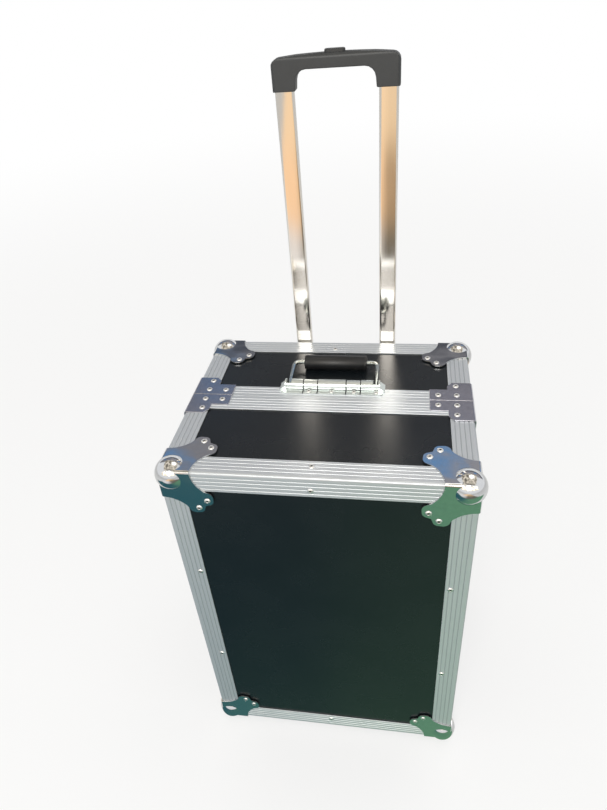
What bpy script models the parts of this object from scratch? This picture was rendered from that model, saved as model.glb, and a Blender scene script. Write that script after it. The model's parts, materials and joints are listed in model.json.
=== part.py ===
# Trolley case: a two-part flight case of laminated panels held in ribbed aluminium angles,
# with ball corners, a hinged front half, twist latches, a folding carry handle,
# a telescopic trolley handle on the back and two corner wheels.
# Frame: X to the right, Y to the back, Z up. The origin is under the centre of the whole
# object's box, on the floor. The case stands on its front ball corners and its wheels.

import math

import bmesh
import bpy
from mathutils import Matrix, Vector

# Case, over its aluminium angles
CASE_WIDTH = 0.400
CASE_DEPTH = 0.323
CASE_HEIGHT = 0.596
LID_DEPTH = 0.167
BALL_PROUD = 0.0085
BACK_REACH = 0.0181

GAP = 0.0003
PANEL = 0.009
SHEET = 0.0015
PLATE = 0.0015

# Ribbed double angle
FLANGE = 0.0318
EDGE_RADIUS = 0.003
SLOT_DEPTH = 0.0111
LIP = 0.0013
LIP_LENGTH = 0.021
WEB = 0.0014
PANEL_INSET = 0.0127
FIELD_RISE = 0.0001
FIELD_CLEARANCE = 0.001
GROOVE_PITCH = 0.0062
GROOVE_WIDTH = 0.0017
GROOVE_DEPTH = 0.0005

# Parting frames
LID_RIM = 0.0313
BODY_RIM = 0.0248
RIM_LIFT = 0.00005
SEAM_GAP = 0.00015
LID_WEB = 0.0065
LID_LIP = 0.016
BODY_WEB = 0.0022
BODY_LIP = 0.012
TONGUE = 0.0035

# Ball corners. Metal near the case's corner is cut off square to its diagonal, so that
# the ball stands clear: a cut holds the sum of the distances from the three faces.
BALL_RADIUS = 0.0225
BALL_INSET = BALL_RADIUS - BALL_PROUD
PLATE_CUT = 0.011
HOLLOW_CUT = 0.0075
ANGLE_CUT = 0.0082
LEG_START = 0.043
LEG_ARC_CENTRE = 0.0845
LEG_NECK = ((0.0593, 0.0423), 0.0093)
LEG_LOBE = ((0.0600, 0.0465), 0.0083)
LEG_MIDDLE = 0.0566
LEG_LIMIT = 0.1182

# Corner plates at the parting line
BRACE_REACH = 0.0585
BRACE_ARM = 0.0337
BODY_BRACE = (0.0258, 0.0430)
LID_BRACE = (0.0240, 0.0445)
BRACE_CHAMFER = 0.008

# Corner wheels
WHEEL_RADIUS = 0.029
WHEEL_WIDTH = 0.022
WHEEL_INSET = 0.018
HOUSING = Vector((0.042, 0.058, 0.062))
HOUSING_LAP = 0.009
HOUSING_PROUD = 0.0021
WHEEL_CLEARANCE = 0.003
HUB_RADIUS = 0.0195
AXLE_RADIUS = 0.004

# Carry handle on the top
HANDLE_X = 0.003
HANDLE_Y = 0.1935
HANDLE_AXIS_HEIGHT = 0.0042
HANDLE_FRONT_EDGE = 0.1757
HANDLE_PLATE_HALF = 0.0735
HANDLE_BARREL_CENTRE = 0.0045
HANDLE_CORE = 0.0074
HANDLE_ROLLS = ((0, 0.0206, 0.0085), (0.0206, 0.0415, 0.0080), (0.0415, 0.0690, 0.0085))
HANDLE_JOINT = 0.0009
BAIL_HALF = 0.0630
BAIL_LENGTH = 0.0525
BAIL_WIRE = 0.0032
BAIL_GRIP_LENGTH = 0.094
BAIL_GRIP_RADIUS = 0.0077
BAIL_GRIP_HEIGHT = 0.0099

# Trolley handle on the back
TROLLEY_X = 0.0097
TUBE_SPACING = 0.1345
INNER_TUBE = Vector((0.0250, 0.012))
OUTER_TUBE = Vector((0.0284, 0.0154))
TUBE_WALL = 0.0013
OUTER_TUBE_BOTTOM = 0.048
OUTER_TUBE_TOP = 0.580
COLLARS = ((0.050, 0.082), (0.534, 0.566))
COLLAR_WALL = 0.0013
COLLAR_EAR = 0.015
INNER_TUBE_LENGTH = 0.500
SOCKET_HEIGHT = 0.371
GRIP_UNDERSIDE = 0.3957
GRIP_TOP = 0.4126
GRIP_HALF = 0.0818
GRIP_LEG_INNER = 0.0520
GRIP_DEPTH = 0.020
BUTTON_PROUD = 0.0037

# Hinges and latches, heights above the bottom of the case
SIDE_HARDWARE_HEIGHTS = {"lower": 0.150, "upper": 0.450}
HINGE_AXIS_OUT = 0.0036
HINGE_BARREL = 0.0031
HINGE_PIN = 0.0015
HINGE_HEIGHT = 0.056
HINGE_KNUCKLE = 0.0256
HINGE_LEAF = (0.0038, 0.0235)
LATCH_POCKET = (-0.0370, 0.0485, 0.0412, 0.0093)
LATCH_POCKET_RADIUS = 0.014
LATCH_RIM = 0.0017
LATCH_FLOOR = 0.0085
LATCH_DECK = 0.0014
LATCH_KEY_U = 0.022
LATCH_KEY_RADIUS = 0.0165
LATCH_PIN = (0.0055, 0.0042)

LEFT = -CASE_WIDTH / 2
RIGHT = CASE_WIDTH / 2
FRONT = (BALL_PROUD - CASE_DEPTH - BACK_REACH) / 2
BACK = FRONT + CASE_DEPTH
SEAM = FRONT + LID_DEPTH
BOTTOM = BALL_PROUD
TOP = BOTTOM + CASE_HEIGHT


def linear(hex_colour):
    values = []
    for start in (0, 2, 4):
        c = int(hex_colour[start:start + 2], 16) / 255
        values.append(c / 12.92 if c <= 0.04045 else ((c + 0.055) / 1.055) ** 2.4)
    return (*values, 1.0)


def make_material(name, hex_colour, metallic, roughness):
    material = bpy.data.materials.new(name)
    material.use_nodes = True
    shader = material.node_tree.nodes["Principled BSDF"]
    shader.inputs["Base Color"].default_value = linear(hex_colour)
    shader.inputs["Metallic"].default_value = metallic
    shader.inputs["Roughness"].default_value = roughness
    return material


# Plain modelling helpers

def add_object(name, bm):
    """Closes the bmesh into a linked object with its faces pointing out."""
    bmesh.ops.recalc_face_normals(bm, faces=bm.faces)
    if bm.calc_volume(signed=True) < 0:
        bmesh.ops.reverse_faces(bm, faces=bm.faces)
    mesh = bpy.data.meshes.new(name)
    bm.to_mesh(mesh)
    bm.free()
    obj = bpy.data.objects.new(name, mesh)
    bpy.context.scene.collection.objects.link(obj)
    return obj


def prism(name, outline, axis, low, high):
    """Extrudes a 2D outline along X, Y or Z. The outline holds the other two axes in order."""
    def place(point, level):
        a, b = point
        return {"X": (level, a, b), "Y": (a, level, b), "Z": (a, b, level)}[axis]

    bm = bmesh.new()
    bottom = [bm.verts.new(place(p, low)) for p in outline]
    top = [bm.verts.new(place(p, high)) for p in outline]
    bm.faces.new(bottom)
    bm.faces.new(top)
    for i in range(len(outline)):
        j = (i + 1) % len(outline)
        bm.faces.new((bottom[i], bottom[j], top[j], top[i]))
    return add_object(name, bm)


def box(name, low, high):
    rectangle = [(low[0], low[1]), (high[0], low[1]), (high[0], high[1]), (low[0], high[1])]
    return prism(name, rectangle, "Z", low[2], high[2])


def circle(centre, radius, count, start=0.0):
    points = []
    for i in range(count):
        angle = start + 2 * math.pi * i / count
        points.append((centre[0] + radius * math.cos(angle), centre[1] + radius * math.sin(angle)))
    return points


def arc(centre, radius, start_deg, end_deg, steps):
    points = []
    for i in range(steps + 1):
        angle = math.radians(start_deg + (end_deg - start_deg) * i / steps)
        points.append((centre[0] + radius * math.cos(angle), centre[1] + radius * math.sin(angle)))
    return points


def rounded(corners, steps=4):
    """Outline with each corner (x, y, radius) turned into an arc."""
    points = []
    count = len(corners)
    for i, (x, y, radius) in enumerate(corners):
        here = Vector((x, y))
        before = (Vector(corners[i - 1][:2]) - here).normalized()
        after = (Vector(corners[(i + 1) % count][:2]) - here).normalized()
        if radius == 0:
            points.append((x, y))
            continue
        half = math.acos(max(-1, min(1, before.dot(after)))) / 2
        centre = here + (before + after).normalized() * (radius / math.sin(half))
        first = here + before * (radius / math.tan(half)) - centre
        last = here + after * (radius / math.tan(half)) - centre
        square = (last - first * (last.dot(first) / radius ** 2)).normalized() * radius
        for k in range(steps + 1):
            turn = first.angle(last) * k / steps
            points.append(tuple(centre + first * math.cos(turn) + square * math.sin(turn)))
    return points


def turned(name, profile, axis, centre, count):
    """Spins a closed (radius, height) outline about a line through centre."""
    bm = bmesh.new()
    loops = []
    for i in range(count):
        angle = 2 * math.pi * (i + 0.5) / count - math.pi / 2 - math.pi / count
        loop = []
        for radius, height in profile:
            a = radius * math.cos(angle)
            b = radius * math.sin(angle)
            local = {"X": (height, a, b), "Y": (a, height, b), "Z": (a, b, height)}[axis]
            loop.append(bm.verts.new(Vector(centre) + Vector(local)))
        loops.append(loop)
    for i in range(count):
        here, there = loops[i], loops[(i + 1) % count]
        for k in range(len(profile)):
            m = (k + 1) % len(profile)
            bm.faces.new((here[k], here[m], there[m], there[k]))
    bmesh.ops.remove_doubles(bm, verts=bm.verts, dist=1e-6)
    return add_object(name, bm)


def bevel(obj, width, segments, angle=30):
    modifier = obj.modifiers.new("Bevel", "BEVEL")
    modifier.width = width
    modifier.segments = segments
    modifier.limit_method = "ANGLE"
    modifier.angle_limit = math.radians(angle)
    bake(obj)
    return obj


def bake(obj):
    """Turns the object's modifiers into its mesh."""
    graph = bpy.context.evaluated_depsgraph_get()
    mesh = bpy.data.meshes.new_from_object(obj.evaluated_get(graph))
    old = obj.data
    obj.modifiers.clear()
    obj.data = mesh
    bpy.data.meshes.remove(old)


def combine(obj, operation, tools):
    for tool in tools:
        modifier = obj.modifiers.new(operation.title(), "BOOLEAN")
        modifier.operation = operation
        modifier.object = tool
    bake(obj)
    for tool in tools:
        bpy.data.objects.remove(tool)
    return obj


def cut(obj, *tools):
    return combine(obj, "DIFFERENCE", tools)


def join(obj, *tools):
    return combine(obj, "UNION", tools)


def keep_inside(obj, tool):
    return combine(obj, "INTERSECT", [tool])


def copy_of(obj, name, scale=(1, 1, 1), offset=(0, 0, 0)):
    """A copy with its own mesh, mirrored by scales of -1 and then moved."""
    mesh = obj.data.copy()
    mesh.transform(Matrix.Diagonal((*scale, 1)))
    mesh.transform(Matrix.Translation(offset))
    if scale[0] * scale[1] * scale[2] < 0:
        mesh.flip_normals()
    twin = bpy.data.objects.new(name, mesh)
    bpy.context.scene.collection.objects.link(twin)
    return twin


def finish(obj, material, angle=32):
    obj.data.materials.clear()
    obj.data.materials.append(material)
    obj.data.shade_smooth()
    obj.data.set_sharp_from_angle(angle=math.radians(angle))
    return obj


# Places of the ball corners

def ball_corners():
    """Each ball corner's outward signs along X, Y and Z, and the case corner it covers."""
    places = {}
    for half, sy, levels in (("lid", -1, ("top", "bottom")), ("body", 1, ("top",))):
        for level in levels:
            for side, sx in (("left", -1), ("right", 1)):
                signs = (sx, sy, 1 if level == "top" else -1)
                corner = (sx * CASE_WIDTH / 2, FRONT if sy < 0 else BACK, TOP if level == "top" else BOTTOM)
                places[f"{half}_ball_corner_{level}_{side}"] = (signs, corner)
    return places


def vertex_cutter(inset_sum, signs=(1, 1, 1), corner=(0, 0, 0)):
    """Removes what lies nearer a corner than a plane square to its diagonal."""
    size = 0.1
    outward = Vector(signs)
    tool = box("vertex", (-size, -size, 0), (size, size, size))
    tool.data.transform(Vector((0, 0, 1)).rotation_difference(outward).to_matrix().to_4x4())
    tool.data.transform(Matrix.Translation(Vector(corner) - outward * inset_sum / 3))
    return tool


# Ribbed aluminium

def grooved(start, end):
    """Points (distance, depth) along a flange's outer face, with its shallow grooves."""
    points = []
    count = int((end - start - GROOVE_WIDTH) / GROOVE_PITCH)
    spare = (end - start - (count - 1) * GROOVE_PITCH) / 2
    for i in range(count):
        centre = start + spare + i * GROOVE_PITCH
        points.append((centre - GROOVE_WIDTH / 2, 0))
        points.append((centre - GROOVE_WIDTH / 4, GROOVE_DEPTH))
        points.append((centre + GROOVE_WIDTH / 4, GROOVE_DEPTH))
        points.append((centre + GROOVE_WIDTH / 2, 0))
    return points


def angle_profile():
    """Double angle in (a, b): the distances in from the two faces. Returns it and its split."""
    r = EDGE_RADIUS
    half = []
    for degrees in (45, 22.5, 0):
        t = math.radians(degrees)
        half.append((r - r * math.sin(t), r - r * math.cos(t)))
    half += grooved(r, FLANGE)
    inner = SLOT_DEPTH + LIP
    half += [
        (FLANGE - 0.0004, 0),
        (FLANGE, 0.0004),
        (FLANGE, SHEET),
        (SHEET + WEB, SHEET),
        (SLOT_DEPTH + WEB, SLOT_DEPTH),
        (LIP_LENGTH, SLOT_DEPTH),
        (LIP_LENGTH, inner),
        (inner, inner),
    ]
    other = [(b, a) for a, b in reversed(half[1:-1])]
    return half + other, len(half) - 1


def edge_angle(name, corner, along, side_a, side_b, length, start, end):
    """A length of double angle. An end is a square cut at a distance, or 'mitre'."""
    profile, split = angle_profile()
    corner = Vector(corner)
    along, side_a, side_b = Vector(along), Vector(side_a), Vector(side_b)

    def inset(cut_kind, a, b):
        return max(a, b) + 0.0002 if cut_kind == "mitre" else cut_kind

    bm = bmesh.new()
    rings = []
    for cut_kind, sign, base in ((start, 1, 0), (end, -1, length)):
        ring = []
        for a, b in profile:
            distance = base + sign * inset(cut_kind, a, b)
            ring.append(bm.verts.new(corner + along * distance + side_a * a + side_b * b))
        rings.append(ring)
        bm.faces.new(ring[:split + 1])
        bm.faces.new(ring[split:] + ring[:1])
    for i in range(len(profile)):
        j = (i + 1) % len(profile)
        bm.faces.new((rings[0][i], rings[0][j], rings[1][j], rings[1][i]))
    return add_object(name, bm)


def parting_frame(name, profile, side):
    """Sweeps a (distance from the seam, depth) profile round the case, facing one half."""
    bm = bmesh.new()
    loops = []
    middle = (TOP + BOTTOM) / 2
    for start, sx, sz in ((0, 1, 1), (90, -1, 1), (180, -1, -1), (270, 1, -1)):
        for step in (0, 45, 90):
            angle = math.radians(start + step)
            loop = []
            for distance, depth in profile:
                radius = max(EDGE_RADIUS - depth, 0)
                inset = max(EDGE_RADIUS, depth)
                x = sx * (CASE_WIDTH / 2 - inset) + radius * math.cos(angle)
                z = sz * (CASE_HEIGHT / 2 - inset) + radius * math.sin(angle)
                loop.append(bm.verts.new((x, SEAM + side * distance, middle + z)))
            loops.append(loop)
    for i, here in enumerate(loops):
        there = loops[(i + 1) % len(loops)]
        for k in range(len(profile)):
            m = (k + 1) % len(profile)
            bm.faces.new((here[k], here[m], there[m], there[k]))
    bmesh.ops.remove_doubles(bm, verts=bm.verts, dist=1e-7)
    bmesh.ops.dissolve_degenerate(bm, edges=bm.edges, dist=1e-7)
    return add_object(name, bm)


def lid_frame_profile():
    lift = -RIM_LIFT
    face = [(d, depth + lift) for d, depth in grooved(0.002, LID_RIM)]
    inner = SLOT_DEPTH + LIP
    groove = TONGUE + 0.0011
    return [(SEAM_GAP, 0.0003), (0.0005, lift)] + face + [
        (LID_RIM - 0.0004, lift), (LID_RIM, 0.0004), (LID_RIM, SHEET + lift),
        (LID_WEB, SHEET + lift), (LID_WEB, SLOT_DEPTH), (LID_LIP, SLOT_DEPTH), (LID_LIP, inner),
        (SEAM_GAP, inner), (SEAM_GAP, 0.0095), (groove, 0.0090), (groove, 0.0040), (SEAM_GAP, 0.0035),
    ]


def body_frame_profile():
    lift = -RIM_LIFT
    face = [(d, depth + lift) for d, depth in grooved(0.002, BODY_RIM)]
    inner = SLOT_DEPTH + LIP
    return [(SEAM_GAP, 0.0003), (0.0005, lift)] + face + [
        (BODY_RIM - 0.0004, lift), (BODY_RIM, 0.0004), (BODY_RIM, SHEET + lift),
        (BODY_WEB, SHEET + lift), (BODY_WEB, SLOT_DEPTH), (BODY_LIP, SLOT_DEPTH), (BODY_LIP, inner),
        (SEAM_GAP, inner), (SEAM_GAP, 0.0085), (-TONGUE, 0.0078), (-TONGUE, 0.0052), (SEAM_GAP, 0.0045),
    ]


def build_frames(material):
    """The eight outer angles, and the two parting frames with their corner angles."""
    pieces = {}
    width, height = CASE_WIDTH, CASE_HEIGHT
    x, y, z = (1, 0, 0), (0, 1, 0), (0, 0, 1)
    minus_x, minus_y, minus_z = (-1, 0, 0), (0, -1, 0), (0, 0, -1)
    housing_x = HOUSING.x + GAP
    housing_y = HOUSING.y + GAP
    housing_z = HOUSING.z + GAP
    layout = [
        ("front_angle_top", (LEFT, FRONT, TOP), x, y, minus_z, width, "mitre", "mitre"),
        ("front_angle_bottom", (LEFT, FRONT, BOTTOM), x, y, z, width, "mitre", "mitre"),
        ("front_angle_left", (LEFT, FRONT, BOTTOM), z, x, y, height, "mitre", "mitre"),
        ("front_angle_right", (RIGHT, FRONT, BOTTOM), z, minus_x, y, height, "mitre", "mitre"),
        ("back_angle_top", (LEFT, BACK, TOP), x, minus_y, minus_z, width, "mitre", "mitre"),
        ("back_angle_bottom", (LEFT, BACK, BOTTOM), x, minus_y, z, width, housing_x, housing_x),
        ("back_angle_left", (LEFT, BACK, BOTTOM), z, x, minus_y, height, housing_z, "mitre"),
        ("back_angle_right", (RIGHT, BACK, BOTTOM), z, minus_x, minus_y, height, housing_z, "mitre"),
    ]
    for name, corner, along, side_a, side_b, length, start, end in layout:
        pieces[name] = edge_angle(name, corner, along, side_a, side_b, length, start, end)

    lap = 0.001
    halves = [
        ("lid_parting_frame", lid_frame_profile(), -1, LID_RIM, LID_DEPTH, "mitre"),
        ("body_parting_frame", body_frame_profile(), 1, BODY_RIM, CASE_DEPTH - LID_DEPTH, housing_y),
    ]
    for name, profile, side, rim, depth, low_end in halves:
        frame = parting_frame(name, profile, side)
        legs = []
        for sx in (-1, 1):
            for sz in (-1, 1):
                corner = (sx * CASE_WIDTH / 2, SEAM, TOP if sz > 0 else BOTTOM)
                end = low_end if sz < 0 else "mitre"
                legs.append(edge_angle("leg", corner, (0, side, 0), (-sx, 0, 0), (0, 0, -sz),
                                       depth, rim - lap, end))
        pieces[name] = join(frame, *legs)

    for name in ("lid_parting_frame", "body_parting_frame"):
        cut(pieces[name], *latch_pockets())
    for piece in pieces.values():
        cut(piece, *[vertex_cutter(ANGLE_CUT, signs, corner) for signs, corner in ball_corners().values()])
        finish(piece, material)
    return pieces


# Panels

def latch_pockets():
    """Cutters for the recesses that take the latch dishes, on the right side."""
    front, back, half_height, depth = LATCH_POCKET
    radius = LATCH_POCKET_RADIUS
    tools = []
    for height in SIDE_HARDWARE_HEIGHTS.values():
        z = BOTTOM + height
        corners = [
            (SEAM + front, z - half_height, radius), (SEAM + back, z - half_height, radius),
            (SEAM + back, z + half_height, radius), (SEAM + front, z + half_height, radius),
        ]
        tools.append(prism("pocket", rounded(corners, 3), "X", RIGHT - depth, RIGHT + 0.006))
    return tools


def panel_fields():
    """Outlines of the open faces, clear of all the metal round them, as a plate laid there has."""
    edge = FLANGE + FIELD_CLEARANCE
    side = BRACE_ARM + FIELD_CLEARANCE
    lobe = LEG_LIMIT + FIELD_CLEARANCE - edge
    lid_seam = SEAM - LID_RIM - FIELD_CLEARANCE
    body_seam = SEAM + BODY_RIM + FIELD_CLEARANCE
    housing_x = HOUSING.x + HOUSING_LAP + FIELD_CLEARANCE
    housing_y = HOUSING.y + HOUSING_LAP + FIELD_CLEARANCE
    between_ears = TUBE_SPACING / 2 - OUTER_TUBE[0] / 2 - COLLAR_WALL - COLLAR_EAR - FIELD_CLEARANCE
    front = [
        (LEFT + lobe, BOTTOM + edge), (RIGHT - lobe, BOTTOM + edge), (RIGHT - edge, BOTTOM + lobe),
        (RIGHT - edge, TOP - lobe), (RIGHT - lobe, TOP - edge), (LEFT + lobe, TOP - edge),
        (LEFT + edge, TOP - lobe), (LEFT + edge, BOTTOM + lobe),
    ]
    top = [
        (LEFT + lobe, FRONT + edge), (RIGHT - lobe, FRONT + edge), (RIGHT - side, FRONT + lobe),
        (RIGHT - side, lid_seam), (LEFT + side, lid_seam), (LEFT + side, FRONT + lobe),
    ]
    ahead = BACK - housing_y
    bottom = [
        (LEFT + side, body_seam), (RIGHT - side, body_seam), (RIGHT - side, ahead),
        (RIGHT - housing_x, ahead), (RIGHT - housing_x, BACK - edge),
        (LEFT + housing_x, BACK - edge), (LEFT + housing_x, ahead), (LEFT + side, ahead),
    ]
    back = [
        (TROLLEY_X - between_ears, BOTTOM + edge), (TROLLEY_X + between_ears, BOTTOM + edge),
        (TROLLEY_X + between_ears, TOP - edge), (TROLLEY_X - between_ears, TOP - edge),
    ]
    return {
        "front_panel": (front, "Y", FRONT, 1), "back_panel": (back, "Y", BACK, -1),
        "lid_top_panel": (top, "Z", TOP, -1), "body_bottom_panel": (bottom, "Z", BOTTOM, 1),
    }


def build_panels(material):
    """Plywood panels. Where the metal lies on one, its face is pressed in by a hair."""
    pieces = {}
    face = SHEET + GAP
    back_face = face + PANEL
    pressed = face + FIELD_RISE
    lid_span = (FRONT + PANEL_INSET, SEAM - LID_WEB - GAP)
    body_span = (SEAM + BODY_WEB + GAP, BACK - PANEL_INSET)
    x0, x1 = LEFT + PANEL_INSET, RIGHT - PANEL_INSET
    z0, z1 = BOTTOM + PANEL_INSET, TOP - PANEL_INSET
    hx = HOUSING.x + GAP
    hy = HOUSING.y + GAP
    hz = HOUSING.z + GAP

    name = "front_panel"
    pieces[name] = box(name, (x0, FRONT + pressed, z0), (x1, FRONT + back_face, z1))
    for half, (y0, y1) in (("lid", lid_span), ("body", body_span)):
        sides = (("left", LEFT + face, LEFT + back_face), ("right", RIGHT - back_face, RIGHT - face))
        for side, low, high in sides:
            name = f"{half}_{side}_panel"
            outline = [(y0, z0), (y1, z0), (y1, z1), (y0, z1)]
            if half == "body":
                notch = [(BACK - hy, z0), (BACK - hy, BOTTOM + hz), (y1, BOTTOM + hz)]
                outline = [(y0, z0)] + notch + [(y1, z1), (y0, z1)]
            pieces[name] = prism(name, outline, "X", low, high)
        name = f"{half}_top_panel"
        depth = pressed if half == "lid" else face
        pieces[name] = box(name, (x0, y0, TOP - back_face), (x1, y1, TOP - depth))
        name = f"{half}_bottom_panel"
        depth = face
        outline = [(x0, y0), (x1, y0), (x1, y1), (x0, y1)]
        if half == "body":
            depth = pressed
            outline = [
                (x0, y0), (x1, y0), (x1, BACK - hy), (RIGHT - hx, BACK - hy), (RIGHT - hx, y1),
                (LEFT + hx, y1), (LEFT + hx, BACK - hy), (x0, BACK - hy),
            ]
        pieces[name] = prism(name, outline, "Z", BOTTOM + depth, BOTTOM + back_face)

    outline = [
        (LEFT + hx, z0), (RIGHT - hx, z0), (RIGHT - hx, BOTTOM + hz), (x1, BOTTOM + hz), (x1, z1),
        (x0, z1), (x0, BOTTOM + hz), (LEFT + hx, BOTTOM + hz),
    ]
    pieces["back_panel"] = prism("back_panel", outline, "Y", BACK - back_face, BACK - pressed)

    for name, (outline, axis, level, inward) in panel_fields().items():
        low, high = sorted((level + inward * face, level + inward * (face + PANEL / 2)))
        join(pieces[name], prism("field", outline, axis, low, high))
    for name in ("lid_right_panel", "body_right_panel"):
        cut(pieces[name], *latch_pockets())
    for piece in pieces.values():
        finish(piece, material)
    return pieces


# Ball corners and corner plates, made once at a corner that points to +X +Y +Z and mirrored

def corner_block(outward, radius, segments, reach=0.078):
    """A block that ends a distance outside the three faces, with rounded outer edges."""
    block = box("block", (-reach, -reach, -reach), (outward, outward, outward))
    return bevel(block, radius, segments)


def ball_leg_outline():
    """The plate on one face, as distances in from its two edges."""
    centre = Vector((LEG_ARC_CENTRE, 0))
    radius = LEG_ARC_CENTRE - LEG_START
    half = [(LEG_START, -0.004)]
    half += arc(centre, radius, 180, 131, 3)
    half += arc(*LEG_NECK, -82, 0, 3)
    half += arc(*LEG_LOBE, 14, 80, 3)
    other = [(b, a) for a, b in reversed(half)]
    return [(-0.004, -0.004)] + half + [(LEG_MIDDLE, LEG_MIDDLE)] + other


def build_ball_corners(material):
    outline = [(-a, -b) for a, b in ball_leg_outline()]
    mask = prism("mask", outline, "Z", -0.0022, 0.004)
    join(mask, prism("mask_y", outline, "Y", -0.0022, 0.004), prism("mask_x", outline, "X", -0.0022, 0.004))
    plates = keep_inside(corner_block(GAP + PLATE, 0.0036, 2), mask)
    cut(plates, vertex_cutter(PLATE_CUT))
    centre = (-BALL_INSET,) * 3
    profile = arc((0, 0), BALL_RADIUS, -90, 90, 12)
    profile[0], profile[-1] = (0, -BALL_RADIUS), (0, BALL_RADIUS)
    ball = turned("ball", profile, "Z", centre, 20)
    join(plates, ball)
    hollow = corner_block(GAP, 0.002, 1, 0.09)
    cut(hollow, vertex_cutter(HOLLOW_CUT))
    master = cut(plates, hollow)

    pieces = {}
    for name, (signs, corner) in ball_corners().items():
        pieces[name] = finish(copy_of(master, name, signs, corner), material)
    bpy.data.objects.remove(master)
    return pieces


def build_braces(material):
    """Plates that wrap each corner beside the parting line, riveted over the frames."""
    pieces = {}
    inner, outer = GAP, GAP + PLATE
    for half, side, (strip, arm) in (("body", 1, BODY_BRACE), ("lid", -1, LID_BRACE)):
        start = 0.0002
        outline = [(-BRACE_REACH, inner), (-BRACE_REACH, outer)]
        outline += arc((outer - 0.0032, outer - 0.0032), 0.0032, 90, 0, 3)
        outline += [(outer, -BRACE_REACH), (inner, -BRACE_REACH)]
        outline += arc((inner - 0.002, inner - 0.002), 0.002, 0, 90, 2)
        master = prism("brace", outline, "Y", start, arm)
        beyond = BRACE_REACH + 0.01
        c = BRACE_CHAMFER
        notch = [
            (-beyond, strip), (-BRACE_ARM, strip), (-BRACE_ARM, arm - c),
            (-BRACE_ARM + c, arm + 0.001), (-beyond, arm + 0.001),
        ]
        top_notch = prism("notch", notch, "Z", -0.001, 0.004)
        side_notch = prism("notch", [(d, z) for z, d in notch], "X", -0.001, 0.004)
        cut(master, top_notch, side_notch)
        for sx, across in ((-1, "left"), (1, "right")):
            for sz, level in ((1, "top"), (-1, "bottom")):
                name = f"{half}_brace_{level}_{across}"
                corner = (sx * CASE_WIDTH / 2, SEAM, TOP if sz > 0 else BOTTOM)
                pieces[name] = finish(copy_of(master, name, (sx, side, sz), corner), material)
        bpy.data.objects.remove(master)
    return pieces


# Wheels in moulded corner housings

def build_wheels(shell, tyre):
    pieces = {}
    centre = (BACK - WHEEL_INSET, WHEEL_RADIUS)
    inner_face = RIGHT - HOUSING.x
    lap = HOUSING_LAP
    outer = HOUSING_PROUD

    low_y, high_y = BACK - HOUSING.y, BACK + outer
    low_z, high_z = BOTTOM - outer, BOTTOM + HOUSING.z
    skin_outline = rounded([
        (low_y - lap, low_z, 0.002), (high_y, low_z, 0.014),
        (high_y, high_z + lap, 0.002), (low_y - lap, high_z + lap, 0.006),
    ], 4)
    skin = prism("skin", skin_outline, "X", inner_face - lap, RIGHT + outer)
    bevel(skin, 0.0012, 1, 60)
    case_space = box("case_space", (-0.3, -0.3, BOTTOM - GAP), (RIGHT + GAP, BACK + GAP, 0.3))
    cut(skin, case_space)
    block_outline = rounded([
        (low_y, BOTTOM - 0.001, 0), (BACK + 0.001, BOTTOM - 0.001, 0.013),
        (BACK + 0.001, high_z, 0), (low_y, high_z, 0.010),
    ], 4)
    block = prism("block", block_outline, "X", inner_face, RIGHT + 0.001)
    join(skin, block)

    slot_radius = WHEEL_RADIUS + WHEEL_CLEARANCE
    slot_outline = [(BACK + 0.02, centre[1] + slot_radius)]
    slot_outline += arc(centre, slot_radius, 90, 180, 8)
    slot_outline += [(centre[0] - slot_radius, BOTTOM - 0.02), (BACK + 0.02, BOTTOM - 0.02)]
    middle = RIGHT - HOUSING.x / 2
    half_slot = WHEEL_WIDTH / 2 + WHEEL_CLEARANCE - 0.001
    slot = prism("slot", slot_outline, "X", middle - half_slot, middle + half_slot)
    cut(skin, slot)
    axle = prism("axle", circle(centre, AXLE_RADIUS, 12), "X", inner_face + 0.002, RIGHT - 0.002)
    join(skin, axle)

    # A raised hub and a rim, with a dished web between them and a crowned tread
    half = WHEEL_WIDTH / 2
    bore = AXLE_RADIUS + 0.0004
    profile = [
        (bore, -half), (HUB_RADIUS / 2, -half), (HUB_RADIUS / 2 + 0.001, -half + 0.003),
        (HUB_RADIUS, -half + 0.003), (HUB_RADIUS + 0.001, -half + 0.0008),
        (WHEEL_RADIUS - 0.0024, -half + 0.0008), (WHEEL_RADIUS, -half + 0.0050),
    ]
    profile += [(radius, -height) for radius, height in reversed(profile)]
    wheel = turned("wheel", profile, "X", (middle, *centre), 24)

    for side, sx in (("right", 1), ("left", -1)):
        name = f"wheel_housing_{side}"
        pieces[name] = finish(copy_of(skin, name, (sx, 1, 1)), shell)
        name = f"wheel_{side}"
        pieces[name] = finish(copy_of(wheel, name, (sx, 1, 1)), tyre)
    bpy.data.objects.remove(skin)
    bpy.data.objects.remove(wheel)
    return pieces, Vector((middle, *centre))


# Carry handle

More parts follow.
